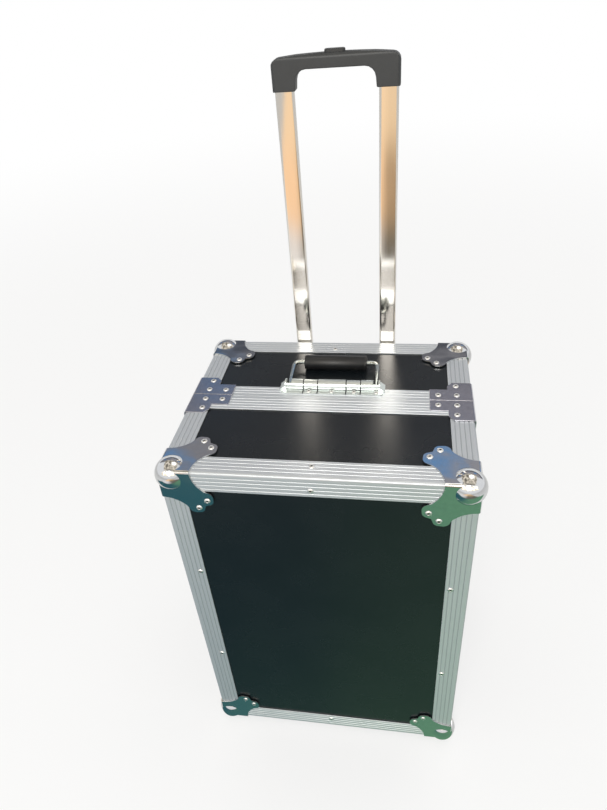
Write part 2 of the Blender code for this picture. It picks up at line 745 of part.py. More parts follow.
def handle_base(chrome):
    """A riveted leaf rolled into a barrel, slotted for the bail's two arms."""
    x, y, z = HANDLE_X, FRONT + HANDLE_Y, TOP + HANDLE_AXIS_HEIGHT
    low, high = TOP + GAP, TOP + GAP + PLATE
    front = FRONT + HANDLE_FRONT_EDGE
    left, right = x - HANDLE_PLATE_HALF, x + HANDLE_PLATE_HALF

    def barrel(start, stop, radius):
        outline = [(y - radius, low), (y + radius, low)]
        outline += arc((y, TOP + HANDLE_BARREL_CENTRE), radius, 0, 180, 6)
        return prism("barrel", outline, "X", x + start, x + stop)

    leaf = rounded([(left, front, 0.003), (right, front, 0.003), (right, y, 0), (left, y, 0)], 2)
    base = prism("carry_handle_base", leaf, "Z", low, high)

    # Five rolls with narrow joints between them, on a core that shows only in the joints
    end = HANDLE_ROLLS[-1][1]
    pieces = [barrel(-end + 0.0002, end - 0.0002, HANDLE_CORE)]
    for start, stop, radius in HANDLE_ROLLS:
        near = start + HANDLE_JOINT / 2 if start else 0
        far = stop - HANDLE_JOINT / 2 if stop < end else stop
        if start:
            pieces += [barrel(near, far, radius), barrel(-far, -near, radius)]
        else:
            pieces.append(barrel(-far, far, radius))

    # Ears close the barrel's ends
    for sx in (-1, 1):
        root, edge, tip = x + sx * (end - 0.0025), x + sx * (end - 0.0005), x + sx * (end + 0.0075)
        ear = [(root, low), (tip, low), (tip, TOP + 0.0022), (edge, TOP + 0.0085), (root, TOP + 0.0085)]
        pieces.append(prism("ear", ear, "Y", y - 0.0105, y + 0.0065))
    join(base, *pieces)

    reach = BAIL_HALF + 0.004
    cutters = [prism("bore", circle((y, z), BAIL_WIRE + 0.0004, 12), "X", x - reach, x + reach)]
    for sx in (-1, 1):
        arm = x + sx * BAIL_HALF
        slot = BAIL_WIRE + 0.0005
        cutters.append(box("slot", (arm - slot, y - 0.0054, TOP - 0.001), (arm + slot, y + 0.02, TOP + 0.02)))
    cut(base, *cutters)
    return finish(base, chrome)


def handle_bail(chrome):
    """Bent wire: two stubs in the barrel, two arms, and the bar that the grip sits on."""
    pivot = Vector((HANDLE_X, FRONT + HANDLE_Y, TOP + HANDLE_AXIS_HEIGHT))
    bend = 0.009
    stub = BAIL_HALF - 0.023
    points = []
    for sx in (-1, 1):
        half = [(stub, 0), (BAIL_HALF, 0)] + arc((BAIL_HALF - bend, BAIL_LENGTH - bend), bend, 0, 90, 5)
        half = [(sx * a, b) for a, b in half]
        points += half if sx < 0 else reversed(half)
    curve = bpy.data.curves.new("carry_handle_bail", "CURVE")
    curve.dimensions = "3D"
    curve.bevel_depth = BAIL_WIRE
    curve.bevel_resolution = 2
    curve.use_fill_caps = True
    spline = curve.splines.new("POLY")
    spline.points.add(len(points) - 1)
    slope = (BAIL_GRIP_HEIGHT - HANDLE_AXIS_HEIGHT) / BAIL_LENGTH
    for point, (a, b) in zip(spline.points, points):
        point.co = (*(pivot + Vector((a, b, b * slope))), 1)
    wire = bpy.data.objects.new("wire", curve)
    bpy.context.scene.collection.objects.link(wire)
    graph = bpy.context.evaluated_depsgraph_get()
    mesh = bpy.data.meshes.new_from_object(wire.evaluated_get(graph))
    bpy.data.objects.remove(wire)
    bail = bpy.data.objects.new("carry_handle_bail", mesh)
    bpy.context.scene.collection.objects.link(bail)
    return finish(bail, chrome, 50)


def handle_grip(rubber):
    """A rubber sleeve with a raised collar at each end."""
    half = BAIL_GRIP_LENGTH / 2
    r, bore = BAIL_GRIP_RADIUS, BAIL_WIRE + GAP
    edge, collar, waist = 0.0015, 0.0040, 0.0006
    profile = [
        (bore, -half), (r - edge, -half), (r, edge - half), (r, collar - half),
        (r - waist, collar + 0.001 - half),
    ]
    profile += [(radius, -along) for radius, along in reversed(profile)]
    centre = (HANDLE_X, FRONT + HANDLE_Y + BAIL_LENGTH, TOP + BAIL_GRIP_HEIGHT)
    return finish(turned("carry_handle_grip", profile, "X", centre, 18), rubber)


def build_carry_handle(chrome, rubber):
    pieces = {
        "carry_handle_base": handle_base(chrome),
        "carry_handle_bail": handle_bail(chrome),
        "carry_handle_grip": handle_grip(rubber),
    }
    return pieces, Vector((HANDLE_X, FRONT + HANDLE_Y, TOP + HANDLE_AXIS_HEIGHT))


# Trolley handle

def tube_outline(x, y, size, radius):
    a, b = size[0] / 2, size[1] / 2
    corners = [(x - a, y - b, radius), (x + a, y - b, radius), (x + a, y + b, radius), (x - a, y + b, radius)]
    return rounded(corners, 2)


def build_trolley(steel, chrome, moulded, button_plastic):
    pieces = {}
    y = BACK + 0.0004 + OUTER_TUBE[1] / 2
    socket = TOP + SOCKET_HEIGHT
    for side, sx in (("left", -1), ("right", 1)):
        x = TROLLEY_X + sx * TUBE_SPACING / 2
        low, high = OUTER_TUBE_BOTTOM, OUTER_TUBE_TOP
        name = f"trolley_outer_tube_{side}"
        tube = prism(name, tube_outline(x, y, OUTER_TUBE, 0.0035), "Z", low, high)
        for bottom, top in COLLARS:
            wide = OUTER_TUBE[0] / 2 + COLLAR_WALL
            strap_back = y + OUTER_TUBE[1] / 2 + COLLAR_WALL
            strap = box("strap", (x - wide, BACK - 0.0012, bottom), (x + wide, strap_back, top))
            bevel(strap, 0.0010, 1)
            reach, radius = wide + COLLAR_EAR, 0.004
            ears = rounded([
                (x - reach, bottom, radius), (x + reach, bottom, radius),
                (x + reach, top, radius), (x - reach, top, radius),
            ], 2)
            plate = prism("plate", ears, "Y", BACK - 0.0014, BACK - 0.0001)
            join(tube, strap, plate)
        hollow = Vector((OUTER_TUBE[0] - 2 * TUBE_WALL, OUTER_TUBE[1] - 2 * TUBE_WALL))
        cut(tube, prism("hollow", tube_outline(x, y, hollow, 0.0027), "Z", low + 0.002, high + 0.01))
        pieces[name] = finish(tube, steel)

        name = f"trolley_inner_tube_{side}"
        top = socket + 0.020
        foot = top - INNER_TUBE_LENGTH
        tube = prism(name, tube_outline(x, y, INNER_TUBE, 0.0034), "Z", foot, top)
        hollow = Vector((INNER_TUBE[0] - 0.0024, INNER_TUBE[1] - 0.0024))
        cut(tube, prism("hollow", tube_outline(x, y, hollow, 0.0016), "Z", foot - 0.01, top - 0.003))
        pieces[name] = finish(tube, chrome)

    bar_low = TOP + GRIP_UNDERSIDE
    bar_top = TOP + GRIP_TOP
    right_half = [
        (GRIP_LEG_INNER - 0.002, bar_low, 0.014), (GRIP_LEG_INNER, socket, 0), (GRIP_HALF, socket, 0),
        (GRIP_HALF, bar_top - 0.0042, 0.010), (0.050, bar_top - 0.0013, 0), (0.018, bar_top, 0),
    ]
    left_half = [(-x, z, radius) for x, z, radius in reversed(right_half)]
    outline = rounded([(TROLLEY_X + x, z, radius) for x, z, radius in right_half + left_half], 4)
    near, far = y - GRIP_DEPTH / 2, y + GRIP_DEPTH / 2
    grip = prism("trolley_grip", outline, "Y", near, far)
    bevel(grip, 0.0015, 2, 60)
    near, far = near - 0.0002, far + 0.0002
    left, right = TROLLEY_X - GRIP_HALF - 0.0002, TROLLEY_X + GRIP_HALF + 0.0002
    top = bar_top + 0.0002
    foot = socket - 0.001
    section = rounded([(near, foot, 0), (far, foot, 0), (far, top, 0.006), (near, top, 0.006)], 3)
    ends = rounded([(left, near, 0.005), (right, near, 0.005), (right, far, 0.005), (left, far, 0.005)], 3)
    keep_inside(grip, prism("section", section, "X", TROLLEY_X - 0.1, TROLLEY_X + 0.1))
    keep_inside(grip, prism("ends", ends, "Z", socket - 0.01, bar_top + 0.01))
    sockets = []
    for sx in (-1, 1):
        x = TROLLEY_X + sx * TUBE_SPACING / 2
        size = Vector((INNER_TUBE[0] + 2 * GAP, INNER_TUBE[1] + 2 * GAP))
        sockets.append(prism("socket", tube_outline(x, y, size, 0.0028), "Z", socket - 0.01, socket + 0.0205))
    well = tube_outline(TROLLEY_X, y, (0.0270, 0.0112), 0.004)
    sockets.append(prism("well", well, "Z", bar_top - 0.011, bar_top + 0.01))
    cut(grip, *sockets)
    pieces["trolley_grip"] = finish(grip, moulded)

    cap = tube_outline(TROLLEY_X, y, (0.0262, 0.0104), 0.0038)
    button = prism("trolley_button", cap, "Z", bar_top - 0.0055, bar_top + BUTTON_PROUD)
    bevel(button, 0.0012, 2, 60)
    pieces["trolley_button"] = finish(button, button_plastic)
    return pieces, Vector((TROLLEY_X, y, bar_top))


# Hinges, on the left side. Local frame: X out of the side, Y from the seam to the back.

def build_hinges(steel):
    pieces = {}
    out = HINGE_AXIS_OUT
    top = GAP + 0.0016
    half = HINGE_HEIGHT / 2
    middle = HINGE_KNUCKLE / 2
    root = HINGE_LEAF[0] + 0.0004
    for level, height in SIDE_HARDWARE_HEIGHTS.items():
        z = BOTTOM + height

        def world(points):
            return [(LEFT - a, SEAM + b) for a, b in points]

        def barrel(low, high):
            return prism("barrel", world(circle((out, 0), HINGE_BARREL, 12)), "Z", z + low, z + high)

        def leaf(name, side):
            near, far = (side * reach for reach in HINGE_LEAF)
            outline = world([(GAP, near), (top, near), (top, far), (GAP, far)])
            return prism(name, outline, "Z", z - half, z + half)

        def tab(side, low, high):
            outline = world([(GAP, 0), (out, 0), (top, side * root), (GAP, side * root)])
            return prism("tab", outline, "Z", z + low, z + high)

        name = f"hinge_{level}_body_leaf"
        body = leaf(name, 1)
        pin = prism("pin", world(circle((out, 0), HINGE_PIN, 8)), "Z", z - half, z + half)
        end = middle + 0.0002
        join(body, tab(1, -half, -end), tab(1, end, half), barrel(-half, -end), barrel(end, half), pin)
        pieces[name] = finish(body, steel)

        name = f"hinge_{level}_lid_leaf"
        lid = leaf(name, -1)
        join(lid, tab(-1, -middle, middle), barrel(-middle, middle))
        bore = prism("bore", world(circle((out, 0), HINGE_PIN + 0.00035, 8)), "Z", z - half, z + half)
        cut(lid, bore)
        pieces[name] = finish(lid, steel)
    return pieces, Vector((LEFT - out, SEAM, BOTTOM))


# Latches, on the right side. u runs from the seam to the back, w up, depth into the case.

def dish(name, z, side, length, rim_length):
    """A pressed half dish: a pan in the side with a flat rim, open at the seam."""
    def plan(near, far, half, radius):
        corners = [
            (SEAM + side * near, z - half, 0), (SEAM + side * far, z - half, radius),
            (SEAM + side * far, z + half, radius), (SEAM + side * near, z + half, 0),
        ]
        return rounded(corners if side > 0 else list(reversed(corners)), 3)

    front = RIGHT + LATCH_RIM
    pan_half = LATCH_POCKET[2] - 0.0006
    pan = prism(name, plan(GAP, length, pan_half, 0.0132), "X", RIGHT - LATCH_POCKET[3] + GAP, front)
    rim = prism("rim", plan(GAP, rim_length, 0.0475, 0.010), "X", RIGHT + GAP, front)
    hollow = plan(-0.002, length - 0.0012, pan_half - 0.0012, 0.0120)
    hollow = prism("hollow", hollow, "X", RIGHT - LATCH_FLOOR + 0.0005, RIGHT + 0.01)
    join(pan, rim)
    return cut(pan, hollow)


def build_latches(steel):
    pieces = {}
    key_centres = {}
    hook_centres = {}
    for level, height in SIDE_HARDWARE_HEIGHTS.items():
        z = BOTTOM + height
        key_y = SEAM + LATCH_KEY_U
        pin_y, pin_x = SEAM + LATCH_PIN[0], RIGHT - LATCH_PIN[1]
        floor, deck = RIGHT - LATCH_FLOOR, RIGHT - LATCH_DECK

        name = f"latch_{level}_dish"
        base = dish(name, z, 1, 0.0479, 0.0545)
        boss = prism("boss", circle((key_y, z), 0.0130, 16), "X", floor, deck)
        ears = []
        for low in (-0.0148, 0.0128):
            outline = rounded([(floor, SEAM + 0.002, 0), (floor, SEAM + 0.0088, 0),
                               (deck, SEAM + 0.0080, 0.0015), (deck, SEAM + 0.0030, 0.0015)], 2)
            ears.append(prism("ear", outline, "Z", z + low, z + low + 0.0020))
        pin = prism("pin", circle((pin_x, pin_y), 0.0013, 8), "Z", z - 0.0140, z + 0.0140)
        join(base, boss, *ears, pin)
        cut(base, prism("bore", circle((key_y, z), 0.0044, 12), "X", RIGHT - 0.0060, RIGHT))
        pieces[name] = finish(base, steel)

        name = f"latch_{level}_keeper"
        keeper = dish(name, z, -1, 0.0362, 0.0430)
        strike = [
            (floor, SEAM - 0.0140), (RIGHT - 0.0062, SEAM - 0.0130), (RIGHT - 0.0052, SEAM - 0.0124),
            (RIGHT - 0.0052, SEAM - 0.0098), (floor, SEAM - 0.0080),
        ]
        join(keeper, prism("strike", strike, "Z", z - 0.0135, z + 0.0135))
        pieces[name] = finish(keeper, steel)

        name = f"latch_{level}_hook"
        strap = [
            (RIGHT - 0.0029, pin_y), (deck, pin_y), (deck, SEAM - 0.0160),
            (RIGHT - 0.0019, SEAM - 0.0168), (RIGHT - 0.0049, SEAM - 0.0166), (RIGHT - 0.0049, SEAM - 0.0150),
            (RIGHT - 0.0036, SEAM - 0.0148), (RIGHT - 0.0029, SEAM - 0.0140),
        ]
        hook = prism(name, strap, "Z", z - 0.0120, z + 0.0120)
        roll = prism("roll", circle((pin_x, pin_y), 0.0028, 12), "Z", z - 0.0122, z + 0.0122)
        join(hook, roll)
        cut(hook, prism("bore", circle((pin_x, pin_y), 0.0017, 8), "Z", z - 0.02, z + 0.02))
        pieces[name] = finish(hook, steel)
        hook_centres[level] = Vector((pin_x, pin_y, z))

        name = f"latch_{level}_key"
        disc = prism(name, circle((key_y, z), LATCH_KEY_RADIUS, 20), "X", RIGHT - 0.0009, RIGHT + 0.0006)
        tip, thick, radius = LATCH_KEY_RADIUS - 0.001, 0.0022, 0.0021
        fin_outline = rounded([
            (key_y - thick, z - tip, radius), (key_y + thick, z - tip, radius),
            (key_y + thick, z + tip, radius), (key_y - thick, z + tip, radius),
        ], 2)
        fin = prism("fin", fin_outline, "X", RIGHT - 0.0004, RIGHT + 0.0040)
        spindle = prism("spindle", circle((key_y, z), 0.0040, 12), "X", RIGHT - 0.0055, RIGHT + 0.0002)
        join(disc, fin, spindle)
        pieces[name] = finish(disc, steel)
        key_centres[level] = Vector((RIGHT, key_y, z))
    return pieces, key_centres, hook_centres


def carry_on(pivot_name, pivot, pieces):
    """Hangs pieces on an empty at their joint's axis."""
    empty = bpy.data.objects.new(pivot_name, None)
    empty.location = pivot
    empty.empty_display_size = 0.03
    bpy.context.scene.collection.objects.link(empty)
    for obj in pieces:
        obj.data.transform(Matrix.Translation(-pivot))
        obj.parent = empty


def build():
    for obj in list(bpy.data.objects):
        bpy.data.objects.remove(obj)

    laminate = make_material("black_laminate", "20252b", 0.0, 0.30)
    aluminium = make_material("ribbed_aluminium", "c5ccd2", 1.0, 0.35)
    chrome = make_material("chrome_plate", "d8dadc", 1.0, 0.10)
    zinc = make_material("zinc_plate", "9a9ca2", 1.0, 0.30)
    tube_steel = make_material("dark_tube_steel", "2b2d30", 1.0, 0.40)
    moulded = make_material("moulded_plastic", "4b4b4b", 0.0, 0.45)
    button_plastic = make_material("button_plastic", "3a3a3a", 0.0, 0.40)
    rubber = make_material("black_rubber", "161616", 0.0, 0.60)
    tyre = make_material("wheel_rubber", "1c1c1c", 0.0, 0.70)

    panels = build_panels(laminate)
    frames = build_frames(aluminium)
    balls = build_ball_corners(chrome)
    braces = build_braces(zinc)
    wheels, wheel_centre = build_wheels(moulded, tyre)
    handle, handle_pivot = build_carry_handle(chrome, rubber)
    trolley, trolley_pivot = build_trolley(tube_steel, chrome, moulded, button_plastic)
    hinges, hinge_pivot = build_hinges(zinc)
    latches, key_centres, hook_centres = build_latches(zinc)

    everything = {**panels, **frames, **balls, **braces, **hinges, **latches}
    lid = [obj for name, obj in everything.items()
           if name.startswith(("lid_", "front_")) or name.endswith(("lid_leaf", "keeper"))]
    carry_on("lid_hinge_axis", hinge_pivot, lid)
    carry_on("carry_handle_axis", handle_pivot, [handle["carry_handle_bail"], handle["carry_handle_grip"]])
    slide = [obj for name, obj in trolley.items() if "inner_tube" in name or name == "trolley_grip"]
    carry_on("trolley_slide_axis", trolley_pivot, slide)
    carry_on("trolley_button_axis", trolley_pivot, [trolley["trolley_button"]])
    for side, sx in (("left", -1), ("right", 1)):
        centre = Vector((sx * wheel_centre.x, wheel_centre.y, wheel_centre.z))
        carry_on(f"wheel_{side}_axis", centre, [wheels[f"wheel_{side}"]])
    for level in SIDE_HARDWARE_HEIGHTS:
        carry_on(f"latch_{level}_key_axis", key_centres[level], [latches[f"latch_{level}_key"]])
        carry_on(f"latch_{level}_hook_axis", hook_centres[level], [latches[f"latch_{level}_hook"]])


build()
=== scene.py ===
import json
import math

import bmesh
import bpy
from mathutils import Matrix, Vector


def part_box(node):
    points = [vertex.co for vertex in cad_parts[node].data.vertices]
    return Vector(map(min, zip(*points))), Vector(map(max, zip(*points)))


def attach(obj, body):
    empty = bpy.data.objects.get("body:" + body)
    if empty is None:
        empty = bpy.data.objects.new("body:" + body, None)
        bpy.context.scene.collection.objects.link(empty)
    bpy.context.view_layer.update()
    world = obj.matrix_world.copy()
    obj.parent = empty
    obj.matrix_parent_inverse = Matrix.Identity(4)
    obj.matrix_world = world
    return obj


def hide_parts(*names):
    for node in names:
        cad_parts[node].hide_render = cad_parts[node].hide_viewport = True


# Looks of the trolley case: its finishes, its rounded edges and rivets, the studio and the camera.
# Lengths are in metres, and mm turns millimetres into them.

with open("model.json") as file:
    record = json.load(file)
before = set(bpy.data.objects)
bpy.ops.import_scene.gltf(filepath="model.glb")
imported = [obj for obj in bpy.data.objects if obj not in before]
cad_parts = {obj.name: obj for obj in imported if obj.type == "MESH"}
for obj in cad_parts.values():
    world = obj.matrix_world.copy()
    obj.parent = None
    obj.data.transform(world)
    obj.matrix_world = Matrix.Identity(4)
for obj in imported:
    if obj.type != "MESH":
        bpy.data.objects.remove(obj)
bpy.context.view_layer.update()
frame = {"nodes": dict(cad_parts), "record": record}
mm = 0.001

# The case's own planes, read from the frame
case = {
    "left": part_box("front_angle_left")[0].x,
    "right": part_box("front_angle_right")[1].x,
    "front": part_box("front_angle_left")[0].y,
    "back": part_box("back_angle_left")[1].y,
    "bottom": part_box("front_angle_bottom")[0].z,
    "top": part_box("front_angle_top")[1].z,
    "seam": (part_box("lid_brace_top_left")[1].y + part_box("body_brace_top_left")[0].y) / 2,
}
caseLow = Vector((case["left"], case["front"], case["bottom"]))
caseHigh = Vector((case["right"], case["back"], case["top"]))

# Each half's first word in its pieces' names, its body, its outer face and the way in from that face,
# then the ways in from the sides and from the top and bottom
halves = (("lid", "lid", case["front"], 1), ("body", "case", case["back"], -1))
sides = {"left": 1, "right": -1}
levels = {"top": -1, "bottom": 1}

bodyOf = {node: body for body, nodes in frame["record"]["behaviour"]["bodies"].items() for node in nodes}
print("frame loaded:", len(frame["nodes"]), "pieces")


def hexColour(code):
    values = [int(code[i:i + 2], 16) / 255 for i in (1, 3, 5)]
    return (*[c / 12.92 if c <= 0.04045 else ((c + 0.055) / 1.055) ** 2.4 for c in values], 1.0)


def feed(node, inputs):
    # inputs is a list in the order of the node's enabled sockets, or a dictionary by their names. It
    # holds plain values, hex colours, other nodes and other nodes' sockets
    sockets = [socket for socket in node.inputs if socket.enabled]
    if isinstance(inputs, dict):
        sockets = [next(socket for socket in sockets if socket.name == name) for name in inputs]
        inputs = inputs.values()
    for socket, value in zip(sockets, inputs):
        if isinstance(value, bpy.types.Node):
            value = next(output for output in value.outputs if output.enabled)
        if isinstance(value, bpy.types.NodeSocket):
            node.id_data.links.new(value, socket)
        else:
            socket.default_value = hexColour(value) if isinstance(value, str) else value


def addNode(tree, kind, inputs=(), **settings):
    node = tree.nodes.new(kind)
    for name, value in settings.items():
        setattr(node, name, value)
    feed(node, inputs)
    return node


def newMaterial(name):
    # spot is where a point lies in the frame, since no piece is moved from its own coordinates
    material = bpy.data.materials.new(name)
    material.use_nodes = True
    tree = material.node_tree
    spot = addNode(tree, "ShaderNodeTexCoord").outputs["Object"]
    return material, tree, tree.nodes["Principled BSDF"], spot


def skinDepth(tree, spot):
    # how far a point lies under the nearest outer face of the closed case
    offset = addNode(tree, "ShaderNodeVectorMath", [spot, (caseLow + caseHigh) / 2], operation="SUBTRACT")
    size = addNode(tree, "ShaderNodeVectorMath", [offset], operation="ABSOLUTE")
    depth = addNode(tree, "ShaderNodeVectorMath", [(caseHigh - caseLow) / 2, size], operation="SUBTRACT")
    split = addNode(tree, "ShaderNodeSeparateXYZ", [depth])
    least = addNode(tree, "ShaderNodeMath", [split.outputs[0], split.outputs[1]], operation="MINIMUM")
    return addNode(tree, "ShaderNodeMath", [least, split.outputs[2]], operation="MINIMUM")


# Laminate: plywood faced with embossed black PVC, so the eye gets a dark satin skin with a
# faint pebbled sheen, and bare birch inside

laminate = {
    "dark": "#101417",
    "light": "#171c1f",
    "cloud": 70 * mm,           # slow change of tone across a sheet
    "pebble": 1.3 * mm,         # the real emboss is 0.5 mm, drawn coarser so that it shows
    "pebbleHeight": 0.045 * mm,
    "smooth": 0.22,
    "rough": 0.32,
    "skin": 2.3 * mm,           # under this depth a panel shows birch
    "birch": "#dccaa8",
    "birchDark": "#c4ab83",
    "birchRough": 0.6,
    "grain": (4 * mm, 4 * mm, 120 * mm),
    "ior": 1.5,
}


def laminatedPlywood():
    look = laminate
    material, tree, shader, spot = newMaterial("laminated_plywood")
    depth = skinDepth(tree, spot)
    inside = addNode(tree, "ShaderNodeMath", [depth, look["skin"]], operation="GREATER_THAN")
    cloud = addNode(tree, "ShaderNodeTexNoise", {"Vector": spot, "Scale": 1 / look["cloud"], "Detail": 3})
    pebble = addNode(tree, "ShaderNodeTexNoise", {"Vector": spot, "Scale": 1 / look["pebble"]})
    scale = [1 / size for size in look["grain"]]
    along = addNode(tree, "ShaderNodeVectorMath", [spot, scale], operation="MULTIPLY")
    grain = addNode(tree, "ShaderNodeTexNoise", {"Vector": along, "Scale": 1, "Detail": 4, "Roughness": 0.6})
    vinyl = addNode(tree, "ShaderNodeMix", [cloud, look["dark"], look["light"]], data_type="RGBA")
    birch = addNode(tree, "ShaderNodeMix", [grain, look["birch"], look["birchDark"]], data_type="RGBA")
    sheen = addNode(tree, "ShaderNodeMix", [cloud, look["smooth"], look["rough"]])
    feed(shader, {
        "Base Color": addNode(tree, "ShaderNodeMix", [inside, vinyl, birch], data_type="RGBA"),
        "Roughness": addNode(tree, "ShaderNodeMix", [inside, sheen, look["birchRough"]]),
        "Normal": addNode(tree, "ShaderNodeBump", {"Height": pebble, "Distance": look["pebbleHeight"]}),
        "IOR": look["ior"],
    })
    return material


# Angles and parting frames: extruded aluminium, anodised satin. The eye gets fine die lines along
# each length, and grooves drawn darker the deeper they go

extrusion = {
    "bright": "#d8dcde",
    "dull": "#c8ccd0",
    "grooveColour": "#b2b7ba",
    "metallic": 0.62,           # the oxide skin scatters the rest
    "dieLine": 0.9 * mm,        # real lines are 0.1 mm, drawn coarser so that they show
    "lineLength": 300 * mm,
    "lineHeight": 0.02 * mm,
    "smooth": 0.34,
    "rough": 0.46,
    "grooveTop": 0.15 * mm,
    "grooveFloor": 0.5 * mm,
    "upright": 31.8 * mm,       # width of a parting frame's uprights
    "lidLeg": 31.3 * mm,        # how far from the seam each frame's corner legs begin
    "bodyLeg": 24.8 * mm,
}


def alongFrame(tree, spot, leg, side):
    # where a parting frame runs along Z, in its uprights, and along Y, in its corner legs
    split = addNode(tree, "ShaderNodeSeparateXYZ", [spot])
    width = addNode(tree, "ShaderNodeMath", [split.outputs[0]], operation="ABSOLUTE")
    inner = case["right"] - extrusion["upright"]
    upright = addNode(tree, "ShaderNodeMath", [width, inner], operation="GREATER_THAN")
    reach = addNode(tree, "ShaderNodeMath", [split.outputs[1], side], operation="MULTIPLY")
    start = leg + case["seam"] * side
    return upright, addNode(tree, "ShaderNodeMath", [reach, start], operation="GREATER_THAN")


def anodisedAluminium(name, axis, leg=0, side=1):
    # axis is the one the length runs along, or None for a frame that turns its corners
    look = extrusion
    material, tree, shader, spot = newMaterial("anodised_aluminium_" + name)

    def dieLines(run):
        scale = [1 / look["dieLine"]] * 3
        scale[run] = 1 / look["lineLength"]
        along = addNode(tree, "ShaderNodeVectorMath", [spot, scale], operation="MULTIPLY")
        return addNode(tree, "ShaderNodeTexNoise",
                       {"Vector": along, "Scale": 1, "Detail": 3, "Roughness": 0.6})

    if axis is None:
        upright, corner = alongFrame(tree, spot, leg, side)
        straight = addNode(tree, "ShaderNodeMix", [upright, dieLines(0), dieLines(2)])
        streak = addNode(tree, "ShaderNodeMix", [corner, straight, dieLines(1)])
    else:
        streak = dieLines(axis)
    # the grooves are drawn darker by their depth under the outer face
    depth = skinDepth(tree, spot)
    groove = addNode(tree, "ShaderNodeMapRange", [depth, look["grooveTop"], look["grooveFloor"]],
                     interpolation_type="SMOOTHSTEP")
    metal = addNode(tree, "ShaderNodeMix", [streak, look["dull"], look["bright"]], data_type="RGBA")
    feed(shader, {
        "Base Color": addNode(tree, "ShaderNodeMix", [groove, metal, look["grooveColour"]], data_type="RGBA"),
        "Roughness": addNode(tree, "ShaderNodeMix", [streak, look["smooth"], look["rough"]]),
        "Normal": addNode(tree, "ShaderNodeBump", {"Height": streak, "Distance": look["lineHeight"]}),
        "Metallic": look["metallic"],
    })
    return material


# Bright and plated steels: one recipe, which gives the eye a mirror that is slightly wavy and worn,
# with its own colour, gloss and waviness for each plating

plated = {
    "chrome": {"colour": "#dcdee0", "worn": "#c8cacd", "smooth": 0.08, "rough": 0.15,
               "wave": 30 * mm, "waveHeight": 0.45 * mm, "wear": 6 * mm},
    "pressed": {"colour": "#d9dfdc", "worn": "#c4cac7", "smooth": 0.18, "rough": 0.30,
                "wave": 20 * mm, "waveHeight": 0.04 * mm, "wear": 6 * mm},
    "zinc": {"colour": "#cfcfd6", "worn": "#adadb8", "smooth": 0.16, "rough": 0.27,
             "wave": 30 * mm, "waveHeight": 0.30 * mm, "wear": 5 * mm},
    "rivet": {"colour": "#f0f0ef", "worn": "#dcdddd", "smooth": 0.34, "rough": 0.46,
              "wave": 5 * mm, "waveHeight": 0.02 * mm, "wear": 2 * mm},
    "stem": {"colour": "#5c5e60", "worn": "#3c3d3f", "smooth": 0.4, "rough": 0.55,
             "wave": 5 * mm, "waveHeight": 0.02 * mm, "wear": 1 * mm},
}


def platedSteel(name, kind):
    look = plated[kind]
    material, tree, shader, spot = newMaterial(name)
    wave = addNode(tree, "ShaderNodeTexNoise", {"Vector": spot, "Scale": 1 / look["wave"], "Detail": 1})
    wear = addNode(tree, "ShaderNodeTexNoise",
                   {"Vector": spot, "Scale": 1 / look["wear"], "Detail": 5, "Roughness": 0.65})
    feed(shader, {
        "Base Color": addNode(tree, "ShaderNodeMix", [wear, look["colour"], look["worn"]], data_type="RGBA"),
        "Roughness": addNode(tree, "ShaderNodeMix", [wear, look["smooth"], look["rough"]]),
        "Normal": addNode(tree, "ShaderNodeBump", {"Height": wave, "Distance": look["waveHeight"]}),
        "Metallic": 1,
    })
    return material


# The carry handle's base is rolled from one strip: the joints between its rolls, and the crease where
# they meet the leaf, get painted shade, drawn as thin dark lines

baseJointShade = {
    "metallic": 0.7,
    "fromMiddle": (20.6 * mm, 41.5 * mm),
    "half": 0.75 * mm,
    "crease": 9.6 * mm,         # behind the leaf's front edge
    "creaseHalf": 1.0 * mm,
    "creaseHeight": 2.6 * mm,   # above the case's top face
    # colour of the painted shade in the joints and the crease
    "dark": "#4a4d4f",
}


def jointShadedSteel():
    look = baseJointShade
    low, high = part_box("carry_handle_base")
    material = platedSteel("rolled_handle_base", "pressed")
    tree = material.node_tree
    shader = tree.nodes["Principled BSDF"]
    spot = addNode(tree, "ShaderNodeTexCoord").outputs["Object"]
    x, y, z = addNode(tree, "ShaderNodeSeparateXYZ", [spot]).outputs
    offset = addNode(tree, "ShaderNodeMath", [x, (low.x + high.x) / 2], operation="SUBTRACT")
    distance = addNode(tree, "ShaderNodeMath", [offset], operation="ABSOLUTE")
    # painted shade: a thin dark line in the gap at each joint between the rolls
    inner, outer = [addNode(tree, "ShaderNodeMath", [distance, place, look["half"]], operation="COMPARE")
                    for place in look["fromMiddle"]]
    jointShade = addNode(tree, "ShaderNodeMath", [inner, outer], operation="MAXIMUM")
    # painted shade: a dark line along the crease where the barrel meets the leaf
    creaseAt = low.y + look["crease"]
    line = addNode(tree, "ShaderNodeMath", [y, creaseAt, look["creaseHalf"]], operation="COMPARE")
    below = addNode(tree, "ShaderNodeMath", [z, case["top"] + look["creaseHeight"]], operation="LESS_THAN")
    crease = addNode(tree, "ShaderNodeMath", [line, below], operation="MULTIPLY")
    dark = addNode(tree, "ShaderNodeMath", [jointShade, crease], operation="MAXIMUM")
    bright = shader.inputs["Base Color"].links[0].from_socket
    feed(shader, {
        "Base Color": addNode(tree, "ShaderNodeMix", [dark, bright, look["dark"]], data_type="RGBA"),
        "Metallic": look["metallic"],
    })
    return material


# Trolley tubes: drawn steel, polished along its length and chromed, so the eye gets a long clean
# mirror. The fixed ones are powder coated, which gives a fine orange peel

tube = {
    "chrome": "#e3dfd9",
    "line": (1.2 * mm, 1.2 * mm, 160 * mm),     # real lines are 0.1 mm wide, drawn coarser
    "lineHeight": 0.012 * mm,
    "smooth": 0.07,
    "rough": 0.14,
    "paint": "#2b2d30",
    "paintRough": 0.42,
    "peel": 1.5 * mm,
    "peelHeight": 0.03 * mm,
}


